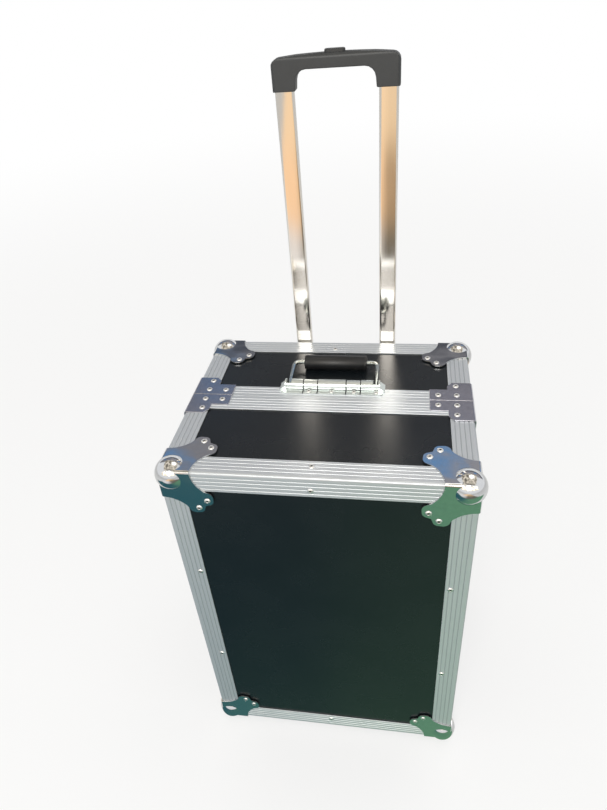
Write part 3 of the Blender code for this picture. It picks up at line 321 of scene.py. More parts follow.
def drawnTube():
    material, tree, shader, spot = newMaterial("chromed_drawn_tube")
    scale = [1 / size for size in tube["line"]]
    along = addNode(tree, "ShaderNodeVectorMath", [spot, scale], operation="MULTIPLY")
    streak = addNode(tree, "ShaderNodeTexNoise", {"Vector": along, "Scale": 1, "Detail": 3})
    feed(shader, {
        "Base Color": tube["chrome"],
        "Roughness": addNode(tree, "ShaderNodeMix", [streak, tube["smooth"], tube["rough"]]),
        "Normal": addNode(tree, "ShaderNodeBump", {"Height": streak, "Distance": tube["lineHeight"]}),
        "Metallic": 1,
    })
    return material


def paintedTube():
    material, tree, shader, spot = newMaterial("powder_coated_tube")
    peel = addNode(tree, "ShaderNodeTexNoise", {"Vector": spot, "Scale": 1 / tube["peel"]})
    feed(shader, {
        "Base Color": tube["paint"],
        "Roughness": tube["paintRough"],
        "Normal": addNode(tree, "ShaderNodeBump", {"Height": peel, "Distance": tube["peelHeight"]}),
    })
    return material


# Mouldings: ABS and rubber from spark-eroded moulds, so the eye gets a fine even grain with soft
# scuffs. The real grain is 0.3 mm, drawn coarser so that it shows

moulding = {
    "grip": {"colour": "#2a2c2d", "worn": "#343637", "grain": 0.9 * mm, "height": 0.05 * mm,
             "smooth": 0.42, "rough": 0.55},
    "housing": {"colour": "#2a2b2d", "worn": "#36373a", "grain": 0.9 * mm, "height": 0.06 * mm,
                "smooth": 0.45, "rough": 0.60},
    "button": {"colour": "#242526", "worn": "#2e3031", "grain": 0.8 * mm, "height": 0.03 * mm,
               "smooth": 0.35, "rough": 0.45},
    "rubber": {"colour": "#0f1011", "worn": "#1b1c1e", "grain": 1.0 * mm, "height": 0.03 * mm,
               "smooth": 0.38, "rough": 0.52},
}
scuffSize = 14 * mm
plasticIor = 1.5


def mouldedPlastic(name, kind):
    look = moulding[kind]
    material, tree, shader, spot = newMaterial(name)
    grain = addNode(tree, "ShaderNodeTexNoise", {"Vector": spot, "Scale": 1 / look["grain"], "Detail": 3})
    scuff = addNode(tree, "ShaderNodeTexNoise",
                    {"Vector": spot, "Scale": 1 / scuffSize, "Detail": 4, "Roughness": 0.6})
    feed(shader, {
        "Base Color": addNode(tree, "ShaderNodeMix", [scuff, look["colour"], look["worn"]], data_type="RGBA"),
        "Roughness": addNode(tree, "ShaderNodeMix", [scuff, look["smooth"], look["rough"]]),
        "Normal": addNode(tree, "ShaderNodeBump", {"Height": grain, "Distance": look["height"]}),
        "IOR": plasticIor,
    })
    return material


# Wheels: polyurethane tread cast round a grey nylon hub, told apart by the distance from the axle.
# The eye gets a dull black ring round a smoother grey middle, with a grain drawn coarser than the
# real one so that it shows

wheel = {
    "tyre": "#1c1c1d",
    "tyreRough": 0.7,
    "hub": "#77797c",
    "hubRough": 0.4,
    "hubRadius": 20.2 * mm,
    "grain": 1.2 * mm,
    "grainHeight": 0.06 * mm,
}


def castWheel(name):
    material, tree, shader, spot = newMaterial("cast_" + name)
    low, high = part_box(name)
    offset = addNode(tree, "ShaderNodeVectorMath", [spot, (low + high) / 2], operation="SUBTRACT")
    flat = addNode(tree, "ShaderNodeVectorMath", [offset, (0, 1, 1)], operation="MULTIPLY")
    radius = addNode(tree, "ShaderNodeVectorMath", [flat], operation="LENGTH")
    tread = addNode(tree, "ShaderNodeMath", [radius, wheel["hubRadius"]], operation="GREATER_THAN")
    grain = addNode(tree, "ShaderNodeTexNoise", {"Vector": spot, "Scale": 1 / wheel["grain"], "Detail": 3})
    feed(shader, {
        "Base Color": addNode(tree, "ShaderNodeMix", [tread, wheel["hub"], wheel["tyre"]], data_type="RGBA"),
        "Roughness": addNode(tree, "ShaderNodeMix", [tread, wheel["hubRough"], wheel["tyreRough"]]),
        "Normal": addNode(tree, "ShaderNodeBump", {"Height": grain, "Distance": wheel["grainHeight"]}),
        "IOR": plasticIor,
    })
    return material


plywood = laminatedPlywood()
alongX = anodisedAluminium("along_x", 0)
alongZ = anodisedAluminium("along_z", 2)
zinc = platedSteel("zinc_plated_steel", "zinc")
rivetSteel = platedSteel("nickel_plated_rivets", "rivet")
stemSteel = platedSteel("broken_rivet_stems", "stem")
finishes = {
    "panel": plywood,
    "angle_top": alongX,
    "angle_bottom": alongX,
    "angle_left": alongZ,
    "angle_right": alongZ,
    "lid_parting_frame": anodisedAluminium("lid_frame", None, extrusion["lidLeg"], -1),
    "body_parting_frame": anodisedAluminium("body_frame", None, extrusion["bodyLeg"], 1),
    "ball_corner": platedSteel("bright_chrome", "chrome"),
    "brace": zinc,
    "hinge": zinc,
    "latch": zinc,
    "carry_handle_base": jointShadedSteel(),
    "carry_handle_bail": platedSteel("satin_pressed_steel", "pressed"),
    "carry_handle_grip": mouldedPlastic("moulded_rubber_grip", "rubber"),
    "inner_tube": drawnTube(),
    "outer_tube": paintedTube(),
    "trolley_grip": mouldedPlastic("moulded_abs_grip", "grip"),
    "trolley_button": mouldedPlastic("moulded_abs_button", "button"),
    "wheel_housing": mouldedPlastic("moulded_abs_housing", "housing"),
    "wheel_left": castWheel("wheel_left"),
    "wheel_right": castWheel("wheel_right"),
}


def rowFor(table, node):
    # the row whose key says most of the node's name
    matches = [part for part in table if part in node]
    return table[max(matches, key=len)] if matches else None


for name, piece in frame["nodes"].items():
    piece.data.materials.clear()
    piece.data.materials.append(rowFor(finishes, name))
print("finishes on:", len(frame["nodes"]), "pieces")


def addObject(name, data):
    thing = bpy.data.objects.new(name, data)
    bpy.context.scene.collection.objects.link(thing)
    return thing


def meshFrom(bm, name):
    mesh = bpy.data.meshes.new(name)
    bm.to_mesh(mesh)
    bm.free()
    return mesh


def applyModifiers(piece):
    bpy.context.view_layer.update()
    mesh = bpy.data.meshes.new_from_object(piece.evaluated_get(bpy.context.evaluated_depsgraph_get()))
    piece.modifiers.clear()
    piece.data = mesh
    return mesh


def addRing(bm, centre, turn, along, radius, count):
    # points in a circle, at a distance along the axis to which turn takes Z
    turns = [2 * math.pi * i / count for i in range(count)]
    points = [Vector((radius * math.cos(a), radius * math.sin(a), along)) for a in turns]
    return [bm.verts.new(centre + turn @ point) for point in points]


def joinRings(bm, first, second):
    faces = []
    for i in range(len(first)):
        j = (i + 1) % len(first)
        faces.append(bm.faces.new((first[i], first[j], second[j], second[i])))
    return faces


def standFor(node, name, mesh):
    # a finished mesh that takes a node's place: it gets the node's finish and body, and the node is hidden
    mesh.materials.clear()
    mesh.materials.append(rowFor(finishes, node))
    piece = addObject(name, mesh)
    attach(piece, bodyOf[node])
    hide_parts(node)


# Broken edges: metal and mouldings have no knife edges, so each such node is stood for by the
# same shape with its arrises rounded, which catch the thin lights that show in the photograph

brokenEdges = {
    "angle": 0.30 * mm,
    "parting_frame": 0.25 * mm,
    "brace": 0.40 * mm,
    "carry_handle_base": 0.25 * mm,
    "carry_handle_bail": 0.20 * mm,
    "inner_tube": 0.15 * mm,
    "outer_tube": 0.20 * mm,
    "trolley_grip": 1.20 * mm,
    "trolley_button": 0.80 * mm,
    "wheel_housing": 0.60 * mm,
    "wheel_left": 0.80 * mm,
    "wheel_right": 0.80 * mm,
    "hinge": 0.25 * mm,
    "latch": 0.30 * mm,
}
arrisAngle = math.radians(40)   # a sharper turn than this is an arris, and is rounded
arrisSteps = 2
creaseAngle = math.radians(50)  # on turned pieces, a sharper turn than this is shaded sharp
flatAngle = math.radians(0.3)   # faces that meet at less than this are one flat
weldDistance = 0.002 * mm


def weldedMesh(node):
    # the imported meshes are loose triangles: join them and take out the lines across flat faces
    bm = bmesh.new()
    bm.from_mesh(frame["nodes"][node].data)
    bmesh.ops.remove_doubles(bm, verts=bm.verts, dist=weldDistance)
    bmesh.ops.dissolve_limit(bm, angle_limit=flatAngle, verts=bm.verts, edges=bm.edges)
    return meshFrom(bm, node)


def roundEdges(name, mesh, width):
    # the mesh with its arrises rounded and its flats still shaded flat
    piece = addObject(name, mesh)
    mesh.shade_smooth()
    tool = piece.modifiers.new("edges", "BEVEL")
    tool.width = width
    tool.segments = arrisSteps
    tool.limit_method = "ANGLE"
    tool.angle_limit = arrisAngle
    piece.modifiers.new("flats", "WEIGHTED_NORMAL").keep_sharp = True
    rounded = applyModifiers(piece)
    bpy.data.objects.remove(piece)
    return rounded


for node in sorted(frame["nodes"]):
    width = rowFor(brokenEdges, node)
    if width:
        standFor(node, node + "_edged", roundEdges(node + "_rough", weldedMesh(node), width))
print("edges broken")


# Carry grip: a rubber sleeve that rests on the top panel, with a thin ring pressed near each end

carryGrip = {
    "clear": 0.3 * mm,          # above the top panel
    "panelDrop": 1.6 * mm,      # of the panel's face below the metal round it
    "ring": 0.35 * mm,
    "ringAt": 3.5 * mm,         # from the sleeve's end
    "ringWidth": 1.2 * mm,
    "endRadius": 1.5 * mm,
    "endTurn": (90, 67, 45, 22, 0),
    "bore": 3.4 * mm,
    "sides": 48,
}


def turnedMesh(name, profile, centre, count):
    # profile holds (distance along X, radius); its first and last points meet, so the shape is a ring
    bm = bmesh.new()
    zToX = Matrix(((0, 0, 1), (1, 0, 0), (0, 1, 0)))
    rings = [addRing(bm, centre, zToX, along, radius, count) for along, radius in profile]
    for first, second in zip(rings, rings[1:] + rings[:1]):
        joinRings(bm, first, second)
    bmesh.ops.recalc_face_normals(bm, faces=bm.faces)
    mesh = meshFrom(bm, name)
    mesh.shade_smooth()
    mesh.set_sharp_from_angle(angle=creaseAngle)
    return mesh


def carryGripProfile(half, radius):
    look = carryGrip
    bend = look["endRadius"]
    turns = [math.radians(turn) for turn in look["endTurn"]]
    end = [(half - bend * (1 - math.sin(a)), radius - bend * (1 - math.cos(a))) for a in turns]
    at = half - look["ringAt"]
    width = look["ringWidth"]
    ring = [(at + width / 2, radius), (at + width / 4, radius + look["ring"]),
            (at - width / 4, radius + look["ring"]), (at - width / 2, radius)]
    right = [(half, look["bore"])] + end + ring
    return right + [(-along, r) for along, r in reversed(right)]


def carryGripSleeve():
    low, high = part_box("carry_handle_grip")
    centre = (low + high) / 2
    radius = centre.z - (case["top"] - carryGrip["panelDrop"]) - carryGrip["clear"] - carryGrip["ring"]
    profile = carryGripProfile((high.x - low.x) / 2, radius)
    mesh = turnedMesh("carry_grip_sleeve", profile, centre, carryGrip["sides"])
    standFor("carry_handle_grip", "carry_grip_sleeve", mesh)


carryGripSleeve()
print("carry grip made")


# Ball corners: one pressing of thin steel, a ball over the corner run out into a two-lobed plate on
# each face, with a soft fillet where ball and plates meet

ballCorner = {
    "radius": 22.5 * mm,
    "proud": 8.5 * mm,          # of the ball, outside the case's faces
    "rings": (64, 40),          # faces round the ball and from pole to pole
    "gap": 0.3 * mm,            # under the plates
    "plate": 1.5 * mm,
    "edge": (3.6 * mm, 5),      # radius and steps of the plates' bend over the case's edges
    "innerEdge": (2 * mm, 2),   # and of the hollow under them
    "legStart": 43 * mm,
    "legArc": 84.5 * mm,        # centre of the hollow curve beside each leg
    "legTurn": (180, 131, 12),  # first and last angle in degrees, and steps, here and below
    "neck": (59.3 * mm, 42.3 * mm, 9.3 * mm),   # centre and radius
    "neckTurn": (-82, 0, 10),
    "lobe": (60.0 * mm, 46.5 * mm, 8.3 * mm),
    "lobeTurn": (14, 80, 12),
    "middle": 56.6 * mm,        # the dip between the two lobes
    "plateCut": 11 * mm,        # the plates stop this far short of the corner, inside the ball
    "hollowCut": 7.5 * mm,      # and so does the hollow
    "fillet": (1.6 * mm, 4),
    "arris": 0.5 * mm,
    "over": 4 * mm,             # what the cutting shapes reach past the case's faces
    "under": 2.2 * mm,          # and below them
    "plateReach": 78 * mm,      # each longer than the plates, so that only the legs' outline shows
    "hollowReach": 90 * mm,
    "cutterReach": 100 * mm,
}


def arcPoints(centre, radius, turn):
    start, end, steps = turn
    angles = [math.radians(start + (end - start) * i / steps) for i in range(steps + 1)]
    return [(centre[0] + radius * math.cos(a), centre[1] + radius * math.sin(a)) for a in angles]


def prism(name, outline, axis, low, high):
    # an outline drawn across one axis, as a closed prism along it
    bm = bmesh.new()
    ends = []
    for level in (low, high):
        ring = []
        for a, b in outline:
            point = Vector((0, 0, 0))
            point[(axis + 1) % 3], point[(axis + 2) % 3], point[axis] = a, b, level
            ring.append(bm.verts.new(point))
        ends.append(ring)
        bm.faces.new(ring)
    joinRings(bm, *ends)
    bmesh.ops.recalc_face_normals(bm, faces=bm.faces)
    return addObject(name, meshFrom(bm, name))


def cutShape(piece, tools, operation):
    for tool in tools:
        cut = piece.modifiers.new("cut", "BOOLEAN")
        cut.operation = operation
        cut.object = tool
    applyModifiers(piece)
    for tool in tools:
        bpy.data.objects.remove(tool)
    return piece


def cornerBlock(outward, edge, reach):
    # a rounded block that stands a distance outside the three faces of a corner at the origin
    outline = [(-reach, -reach), (outward, -reach), (outward, outward), (-reach, outward)]
    block = prism("block", outline, 2, -reach, outward)
    tool = block.modifiers.new("edges", "BEVEL")
    tool.width, tool.segments = edge
    applyModifiers(block)
    return block


def cornerCutter(inset):
    # what lies nearer the corner than a plane square to its diagonal
    reach = ballCorner["cutterReach"]
    outline = [(-reach, -reach), (reach, -reach), (reach, reach), (-reach, reach)]
    tool = prism("cutter", outline, 2, 0, reach)
    outward = Vector((1, 1, 1))
    tool.data.transform(Vector((0, 0, 1)).rotation_difference(outward).to_matrix().to_4x4())
    tool.data.transform(Matrix.Translation(-outward * inset / 3))
    return tool


def ballLegOutline():
    look = ballCorner
    over = look["over"]
    half = [(look["legStart"], -over)]
    half += arcPoints((look["legArc"], 0), look["legArc"] - look["legStart"], look["legTurn"])
    half += arcPoints(look["neck"][:2], look["neck"][2], look["neckTurn"])
    half += arcPoints(look["lobe"][:2], look["lobe"][2], look["lobeTurn"])
    other = [(b, a) for a, b in reversed(half)]
    return [(-a, -b) for a, b in [(-over, -over)] + half + [(look["middle"],) * 2] + other]


def markCrease(mesh, centre):
    # the crease round the ball is marked by its place on both the ball and a plate's face
    look = ballCorner
    level = look["gap"] + look["plate"]
    onLevel = 0.02 * mm
    onRadius = 0.1 * mm
    weights = mesh.attributes.new("bevel_weight_edge", "FLOAT", "EDGE")
    for edge in mesh.edges:
        ends = [mesh.vertices[i].co for i in edge.vertices]
        onBall = all(abs((end - centre).length - look["radius"]) < onRadius for end in ends)
        onPlate = any(all(abs(end[axis] - level) < onLevel for end in ends) for axis in range(3))
        weights.data[edge.index].value = float(onBall and onPlate)


def ballCornerMaster():
    look = ballCorner
    outline = ballLegOutline()
    masks = [prism(f"mask_{axis}", outline, axis, -look["under"], look["over"]) for axis in range(3)]
    mask = cutShape(masks[2], masks[:2], "UNION")
    piece = cornerBlock(look["gap"] + look["plate"], look["edge"], look["plateReach"])
    cutShape(piece, [mask], "INTERSECT")
    cutShape(piece, [cornerCutter(look["plateCut"])], "DIFFERENCE")
    centre = Vector([look["proud"] - look["radius"]] * 3)
    bm = bmesh.new()
    around, upward = look["rings"]
    bmesh.ops.create_uvsphere(bm, u_segments=around, v_segments=upward, radius=look["radius"],
                              matrix=Matrix.Translation(centre))
    cutShape(piece, [addObject("ball", meshFrom(bm, "ball"))], "UNION")
    hollow = cornerBlock(look["gap"], look["innerEdge"], look["hollowReach"])
    cutShape(hollow, [cornerCutter(look["hollowCut"])], "DIFFERENCE")
    cutShape(piece, [hollow], "DIFFERENCE")
    markCrease(piece.data, centre)
    tool = piece.modifiers.new("fillet", "BEVEL")
    tool.limit_method = "WEIGHT"
    tool.width, tool.segments = look["fillet"]
    mesh = applyModifiers(piece)
    mesh.attributes.remove(mesh.attributes["bevel_weight_edge"])
    bpy.data.objects.remove(piece)
    return mesh


ballMaster = ballCornerMaster()
for half, body, y, inwardY in halves:
    for level, inwardZ in levels.items():
        for side, inwardX in sides.items():
            node = f"{half}_ball_corner_{level}_{side}"
            if node in frame["nodes"]:
                mesh = ballMaster.copy()
                mirrored = Matrix.Diagonal((-inwardX, -inwardY, -inwardZ, 1))
                mesh.transform(Matrix.Translation((case[side], y, case[level])) @ mirrored)
                if mirrored.determinant() < 0:
                    mesh.flip_normals()
                standFor(node, node + "_pressed", roundEdges(node + "_rough", mesh, ballCorner["arris"]))
print("ball corners pressed")


# Rivets: a pressed dome with the dimple of its broken stem

rivet = {
    "dome": ((0.97, 0.0), (1.0, 0.22), (0.93, 0.55), (0.78, 0.83), (0.58, 0.98), (0.42, 1.0), (0.35, 0.86),
             (0.31, 0.45)),     # from the rim into the dimple, as shares of the radius and the height
    "stem": 2,                  # rings at the middle that belong to the broken stem
    "sunk": 0.4 * mm,
    "sides": 20,
    "plate": 1.8 * mm,          # outer face of corner plates above the case's faces
}
rivetSizes = {                  # radius and height
    "case": (4.1 * mm, 1.5 * mm),
    "handle": (3.4 * mm, 1.1 * mm),
    "latch": (2.7 * mm, 0.9 * mm),
    "hinge": (2.9 * mm, 0.9 * mm),
    "collar": (3.2 * mm, 1.1 * mm),
    "housing": (3.2 * mm, 1.0 * mm),
}


def addHead(bm, place, normal, radius, height):
    turn = Vector(normal).to_track_quat("Z", "Y").to_matrix()
    rim = rivet["dome"][0][0]
    profile = [(rim * radius, -rivet["sunk"])] + [(r * radius, h * height) for r, h in rivet["dome"]]
    rings = [addRing(bm, Vector(place), turn, along, r, rivet["sides"]) for r, along in profile]
    for number, (lower, upper) in enumerate(zip(rings, rings[1:])):
        for face in joinRings(bm, lower, upper):
            face.material_index = int(number >= len(rings) - rivet["stem"])
    bm.faces.new(reversed(rings[0]))
    bm.faces.new(rings[-1]).material_index = 1


def rivetGroup(name, body, heads, size):
    # heads holds (point on the surface, outward normal) for each rivet
    bm = bmesh.new()
    for place, normal in heads:
        addHead(bm, place, normal, *rivetSizes[size])
    mesh = meshFrom(bm, name)
    mesh.shade_smooth()
    mesh.set_sharp_from_angle(angle=creaseAngle)
    mesh.materials.append(rivetSteel)
    mesh.materials.append(stemSteel)
    piece = addObject(name, mesh)
    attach(piece, body)


def onFace(corner, inward, axis, distances, lift):
    # a point on the case's face across axis, at distances in from the corner along the other two
    place = Vector(corner)
    for k, distance in zip([k for k in range(3) if k != axis], distances):
        place[k] += inward[k] * distance
    normal = Vector((0, 0, 0))
    normal[axis] = -inward[axis]
    return place + normal * lift, normal


ballRivets = ((60 * mm, 47 * mm), (47 * mm, 60 * mm))
braceRivets = {                 # across from the case's edge, and along from the seam
    "body": ((46.5 * mm, 12 * mm), (21.3 * mm, 12 * mm), (21.6 * mm, 34.5 * mm)),
    "lid": ((47 * mm, 11.5 * mm), (21.7 * mm, 11.5 * mm), (22.7 * mm, 33 * mm)),
}
angleRivets = {
    "short": (-4 * mm, 21.5 * mm),              # along X, and in from the case's edge
    "uprightInset": 24.5 * mm,
    "uprightHeights": (193 * mm, 399 * mm),     # below the top
}


def ballHeads(half, y, inwardY):
    # on each of the three faces of each ball corner
    heads = []
    for side, inwardX in sides.items():
        for level, inwardZ in levels.items():
            if f"{half}_ball_corner_{level}_{side}" in frame["nodes"]:
                corner = (case[side], y, case[level])
                inward = (inwardX, inwardY, inwardZ)
                for axis in range(3):
                    heads += [onFace(corner, inward, axis, pair, rivet["plate"]) for pair in ballRivets]
    return heads


def braceHeads(half, inwardY):
    # on both legs of each brace
    heads = []
    for side, inwardX in sides.items():
        for level, inwardZ in levels.items():
            corner = (case[side], case["seam"], case[level])
            inward = (inwardX, -inwardY, inwardZ)
            for across, along in braceRivets[half]:
                heads.append(onFace(corner, inward, 2, (across, along), rivet["plate"]))
                heads.append(onFace(corner, inward, 0, (along, across), rivet["plate"]))
    return heads


def angleHeads(y, inwardY):
    # on both flanges, one in the middle of each short length of angle and two in each upright
    heads = []
    for level, inwardZ in levels.items():
        corner = (0, y, case[level])
        inward = (1, inwardY, inwardZ)
        heads += [onFace(corner, inward, axis, angleRivets["short"], 0) for axis in (1, 2)]
    for side, inwardX in sides.items():
        corner = (case[side], y, case["top"])
        inward = (inwardX, inwardY, levels["top"])
        for height in angleRivets["uprightHeights"]:
            pair = (angleRivets["uprightInset"], height)
            heads += [onFace(corner, inward, axis, pair, 0) for axis in (0, 1)]
    return heads


handleRivets = {"fromFront": 181 * mm, "along": (-33 * mm, 0, 32 * mm, 64 * mm)}


def carryHandleRivets():
    low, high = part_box("carry_handle_base")
    middle = (low.x + high.x) / 2
    y = case["front"] + handleRivets["fromFront"]
    heads = [((middle + x, y, case["top"] + rivet["plate"]), (0, 0, 1)) for x in handleRivets["along"]]
    rivetGroup("carry_handle_rivets", "case", heads, "handle")


# distances from the seam on each half, heights from the fitting's middle, and the lift of its face
latchRivets = {"case": 46.2 * mm, "lid": -34.6 * mm, "up": (-39.6 * mm, 39.6 * mm), "lift": 1.7 * mm}
hingeRivets = {"case": 14.5 * mm, "lid": -14.5 * mm, "up": (-19 * mm, 0, 19 * mm), "lift": 1.9 * mm}


def fittingRivets(kind, look, nodes, side):
    # rivets of the two latches or the two hinges, on one side of the case
    outward = -sides[side]
    for body in ("case", "lid"):
        heads = []
        x = case[side] + outward * look["lift"]
        y = case["seam"] + look[body]
        for node in nodes:
            low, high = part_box(node)
            middle = (low.z + high.z) / 2
            heads += [((x, y, middle + up), (outward, 0, 0)) for up in look["up"]]
        rivetGroup(f"{body}_{kind}_rivets", body, heads, kind)


collarRivets = {"fromTube": (-21.5 * mm, 21.5 * mm), "heights": (66 * mm, 550 * mm), "lift": -0.1 * mm}


def trolleyCollarRivets():
    heads = []
    y = case["back"] + collarRivets["lift"]
    for side in sides:
        low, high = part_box(f"trolley_outer_tube_{side}")
        middle = (low.x + high.x) / 2
        for height in collarRivets["heights"]:
            for away in collarRivets["fromTube"]:
                heads.append(((middle + away, y, height), (0, 1, 0)))
    rivetGroup("trolley_collar_rivets", "case", heads, "collar")


housingRivets = {
    "lift": 2.0 * mm,           # of the housings' faces, outside the case
    "side": ((58 * mm, 14 * mm), (58 * mm, 60 * mm), (14 * mm, 62 * mm)),   # in from the back, and up
    "back": ((46.5 * mm, 16 * mm), (46.5 * mm, 60 * mm)),                   # in from the side, and up
}


def wheelHousingRivets():
    heads = []
    for side, inwardX in sides.items():
        corner = (case[side], case["back"], case["bottom"])
        inward = (inwardX, -1, 1)
        heads += [onFace(corner, inward, 0, pair, housingRivets["lift"]) for pair in housingRivets["side"]]
        heads += [onFace(corner, inward, 1, pair, housingRivets["lift"]) for pair in housingRivets["back"]]
    rivetGroup("wheel_housing_rivets", "case", heads, "housing")


for half, body, y, inwardY in halves:
    heads = ballHeads(half, y, inwardY) + braceHeads(half, inwardY) + angleHeads(y, inwardY)
    rivetGroup(f"{body}_rivets", body, heads, "case")
carryHandleRivets()
fittingRivets("latch", latchRivets, ("latch_lower_dish", "latch_upper_dish"), "right")
fittingRivets("hinge", hingeRivets, ("hinge_lower_body_leaf", "hinge_upper_body_leaf"), "left")
trolleyCollarRivets()
wheelHousingRivets()
print("rivets made")


# Studio: a pale floor, a white surround, one soft key and one soft fill

studio = {
    "floor": {
        "x": (-40, 40), "y": (-40, 40), "z": 0, "colour": "#ecebe8", "rough": 0.9,
        "whitening": (0.65, 1.0),   # share of plain white that the camera sees in it, near and far
        "fade": (0.8, 5.0),         # distances over which it runs into the white surround
    },
    "surround": 0.80,           # light from all round, on the object and the floor
    "key": {"place": (0.7, 0.7, 3.4), "size": 1.4, "watts": 8},
    "fill": {"place": (-0.15, -2.2, 1.95), "size": 1.25, "watts": 29},
    "aim": (0, 0, 0.4),         # where both lamps point
}


def sheetMesh(name, look):
    # a rectangle, which stands up where its Z is a pair and lies flat where Y is
    x, y, z = look["x"], look["y"], look["z"]
    if isinstance(z, tuple):
        corners = [(x[0], y, z[0]), (x[1], y, z[0]), (x[1], y, z[1]), (x[0], y, z[1])]
    else:
        corners = [(x[0], y[0], z), (x[1], y[0], z), (x[1], y[1], z), (x[0], y[1], z)]
    mesh = bpy.data.meshes.new(name)
    mesh.from_pydata(corners, [], [(0, 1, 2, 3)])
    return mesh


def studioFloor():
    look = studio["floor"]
    material, tree, shader, spot = newMaterial("pale_floor")
    feed(shader, {"Base Color": look["colour"], "Roughness": look["rough"]})
    away = addNode(tree, "ShaderNodeVectorMath", [spot], operation="LENGTH")
    whitening = addNode(tree, "ShaderNodeMapRange", [away, *look["fade"], *look["whitening"]],
                        interpolation_type="SMOOTHSTEP")
    seen = addNode(tree, "ShaderNodeLightPath").outputs["Is Camera Ray"]
    share = addNode(tree, "ShaderNodeMath", [whitening, seen], operation="MULTIPLY")
    white = addNode(tree, "ShaderNodeEmission", {"Strength": 1})
    mix = addNode(tree, "ShaderNodeMixShader", [share, shader, white])
    feed(tree.nodes["Material Output"], {"Surface": mix})
    floor = addObject("floor", sheetMesh("floor", look))
    floor.data.materials.append(material)


def studioWorld():
    world = bpy.data.worlds.new("surround")
    world.use_nodes = True
    tree = world.node_tree
    path = addNode(tree, "ShaderNodeLightPath").outputs
    seen = path["Is Camera Ray"]
    for ray in ("Is Glossy Ray", "Is Transmission Ray"):
        seen = addNode(tree, "ShaderNodeMath", [seen, path[ray]], operation="MAXIMUM")
    strength = addNode(tree, "ShaderNodeMix", [seen, studio["surround"], 1])
    feed(tree.nodes["Background"], {"Color": "#ffffff", "Strength": strength})
    bpy.context.scene.world = world


def softLamp(name):
    look = studio[name]
    lamp = bpy.data.lights.new(name, "AREA")
    lamp.shape = "DISK"
    lamp.size = look["size"]
    lamp.energy = look["watts"]
    holder = addObject(name, lamp)
    holder.location = look["place"]
    holder.rotation_euler = (Vector(studio["aim"]) - holder.location).to_track_quat("-Z", "Y").to_euler()


# Cards that only gloss sees, so that the bright metal has something to mirror. The ground card is
# green, then grey, then warm as it runs away in front of the case, the rear card is grey with blue
# patches, and the front and ceiling cards are pale

cards = {
    "ground": {
        "x": (-1.15, 1.15), "y": (-9, case["front"]), "z": 2 * mm, "strength": 1.5,
        "green": ("#2c535a", "#5c8568"), "greenAcross": (-0.35, 0.35), "greenCloud": 0.30,
        "grey": ("#d6d3d1", "#625e55"), "greyAt": (0.88, 1.02),
        "warm": ("#eec69e", "#a08668"), "warmAt": (1.7, 2.2),
        "across": (-0.55, 0.05), "cloud": (0.5, 1.0, 1.0),
        "far": "#e8cba6", "farAt": (2.8, 4.2), "farShare": 0.8,
    },
    "rear": {
        "x": (-7, 7), "y": 3.6, "z": (2.0, 7), "strength": 1.0, "colour": "#a8a4a6",
        "low": "#484c55", "lowAt": (3.0, 2.6),
        "shade": "#3a3e46", "shadeAt": (-0.6, -1.6), "shadeShare": 0.3,
        "blue": "#559bd6", "wobble": 0.35, "edge": (1.6, 0.4),      # of a patch, as shares of its radius
        "patches": (                # X, Z and radius
            (0.38, 3.89, 0.21), (-1.60, 3.02, 0.19), (-2.30, 4.15, 0.30), (-3.6, 3.4, 0.5), (2.4, 3.6, 0.5),
        ),
    },
    "front": {
        "x": (-8, 8), "y": -6.0, "z": (2.4, 6.5), "strength": 3.7, "colour": "#fff3df",
        "low": "#c9bca6", "lowAt": (3.8, 2.6), "shade": "#8a8274", "cloud": 1.4, "cloudEdge": (0.42, 0.60),
    },
    "ceiling": {
        "x": (-4.5, 4.5), "y": (-4.5, 4.5), "z": 6.0, "strength": 1.2, "colour": "#f6ead6",
        "shade": "#7b7468", "cloud": 1.5, "cloudEdge": (0.42, 0.58),
    },
}


def groundColour(tree, look, spot, x, y, z):
    away = addNode(tree, "ShaderNodeMath", [y, -1], operation="MULTIPLY")
    scale = [1 / size for size in look["cloud"]]
    stretched = addNode(tree, "ShaderNodeVectorMath", [spot, scale], operation="MULTIPLY")
    cloud = addNode(tree, "ShaderNodeTexNoise", {"Vector": stretched, "Scale": 1, "Detail": 3})
    greenScale = 1 / look["greenCloud"]
    greenCloud = addNode(tree, "ShaderNodeTexNoise", {"Vector": spot, "Scale": greenScale, "Detail": 3})

    def leftToRight(colours, ends, noise):
        # the left colour runs into the right one along X, with an uneven edge
        across = addNode(tree, "ShaderNodeMapRange", [x, *ends], interpolation_type="SMOOTHSTEP")
        mixed = addNode(tree, "ShaderNodeMath", [across, noise], operation="ADD")
        share = addNode(tree, "ShaderNodeMath", [mixed, 0.5], operation="SUBTRACT", use_clamp=True)
        return addNode(tree, "ShaderNodeMix", [share, *colours], data_type="RGBA")

    green = leftToRight(look["green"], look["greenAcross"], greenCloud)
    grey = leftToRight(look["grey"], look["across"], cloud)
    warm = leftToRight(look["warm"], look["across"], cloud)
    toGrey, toWarm, toFar = [
        addNode(tree, "ShaderNodeMapRange", [away, *look[ends]], interpolation_type="SMOOTHSTEP")
        for ends in ("greyAt", "warmAt", "farAt")
    ]
    share = addNode(tree, "ShaderNodeMath", [toFar, look["farShare"]], operation="MULTIPLY")
    warm = addNode(tree, "ShaderNodeMix", [share, warm, look["far"]], data_type="RGBA")
    beyond = addNode(tree, "ShaderNodeMix", [toWarm, grey, warm], data_type="RGBA")
    return addNode(tree, "ShaderNodeMix", [toGrey, green, beyond], data_type="RGBA")


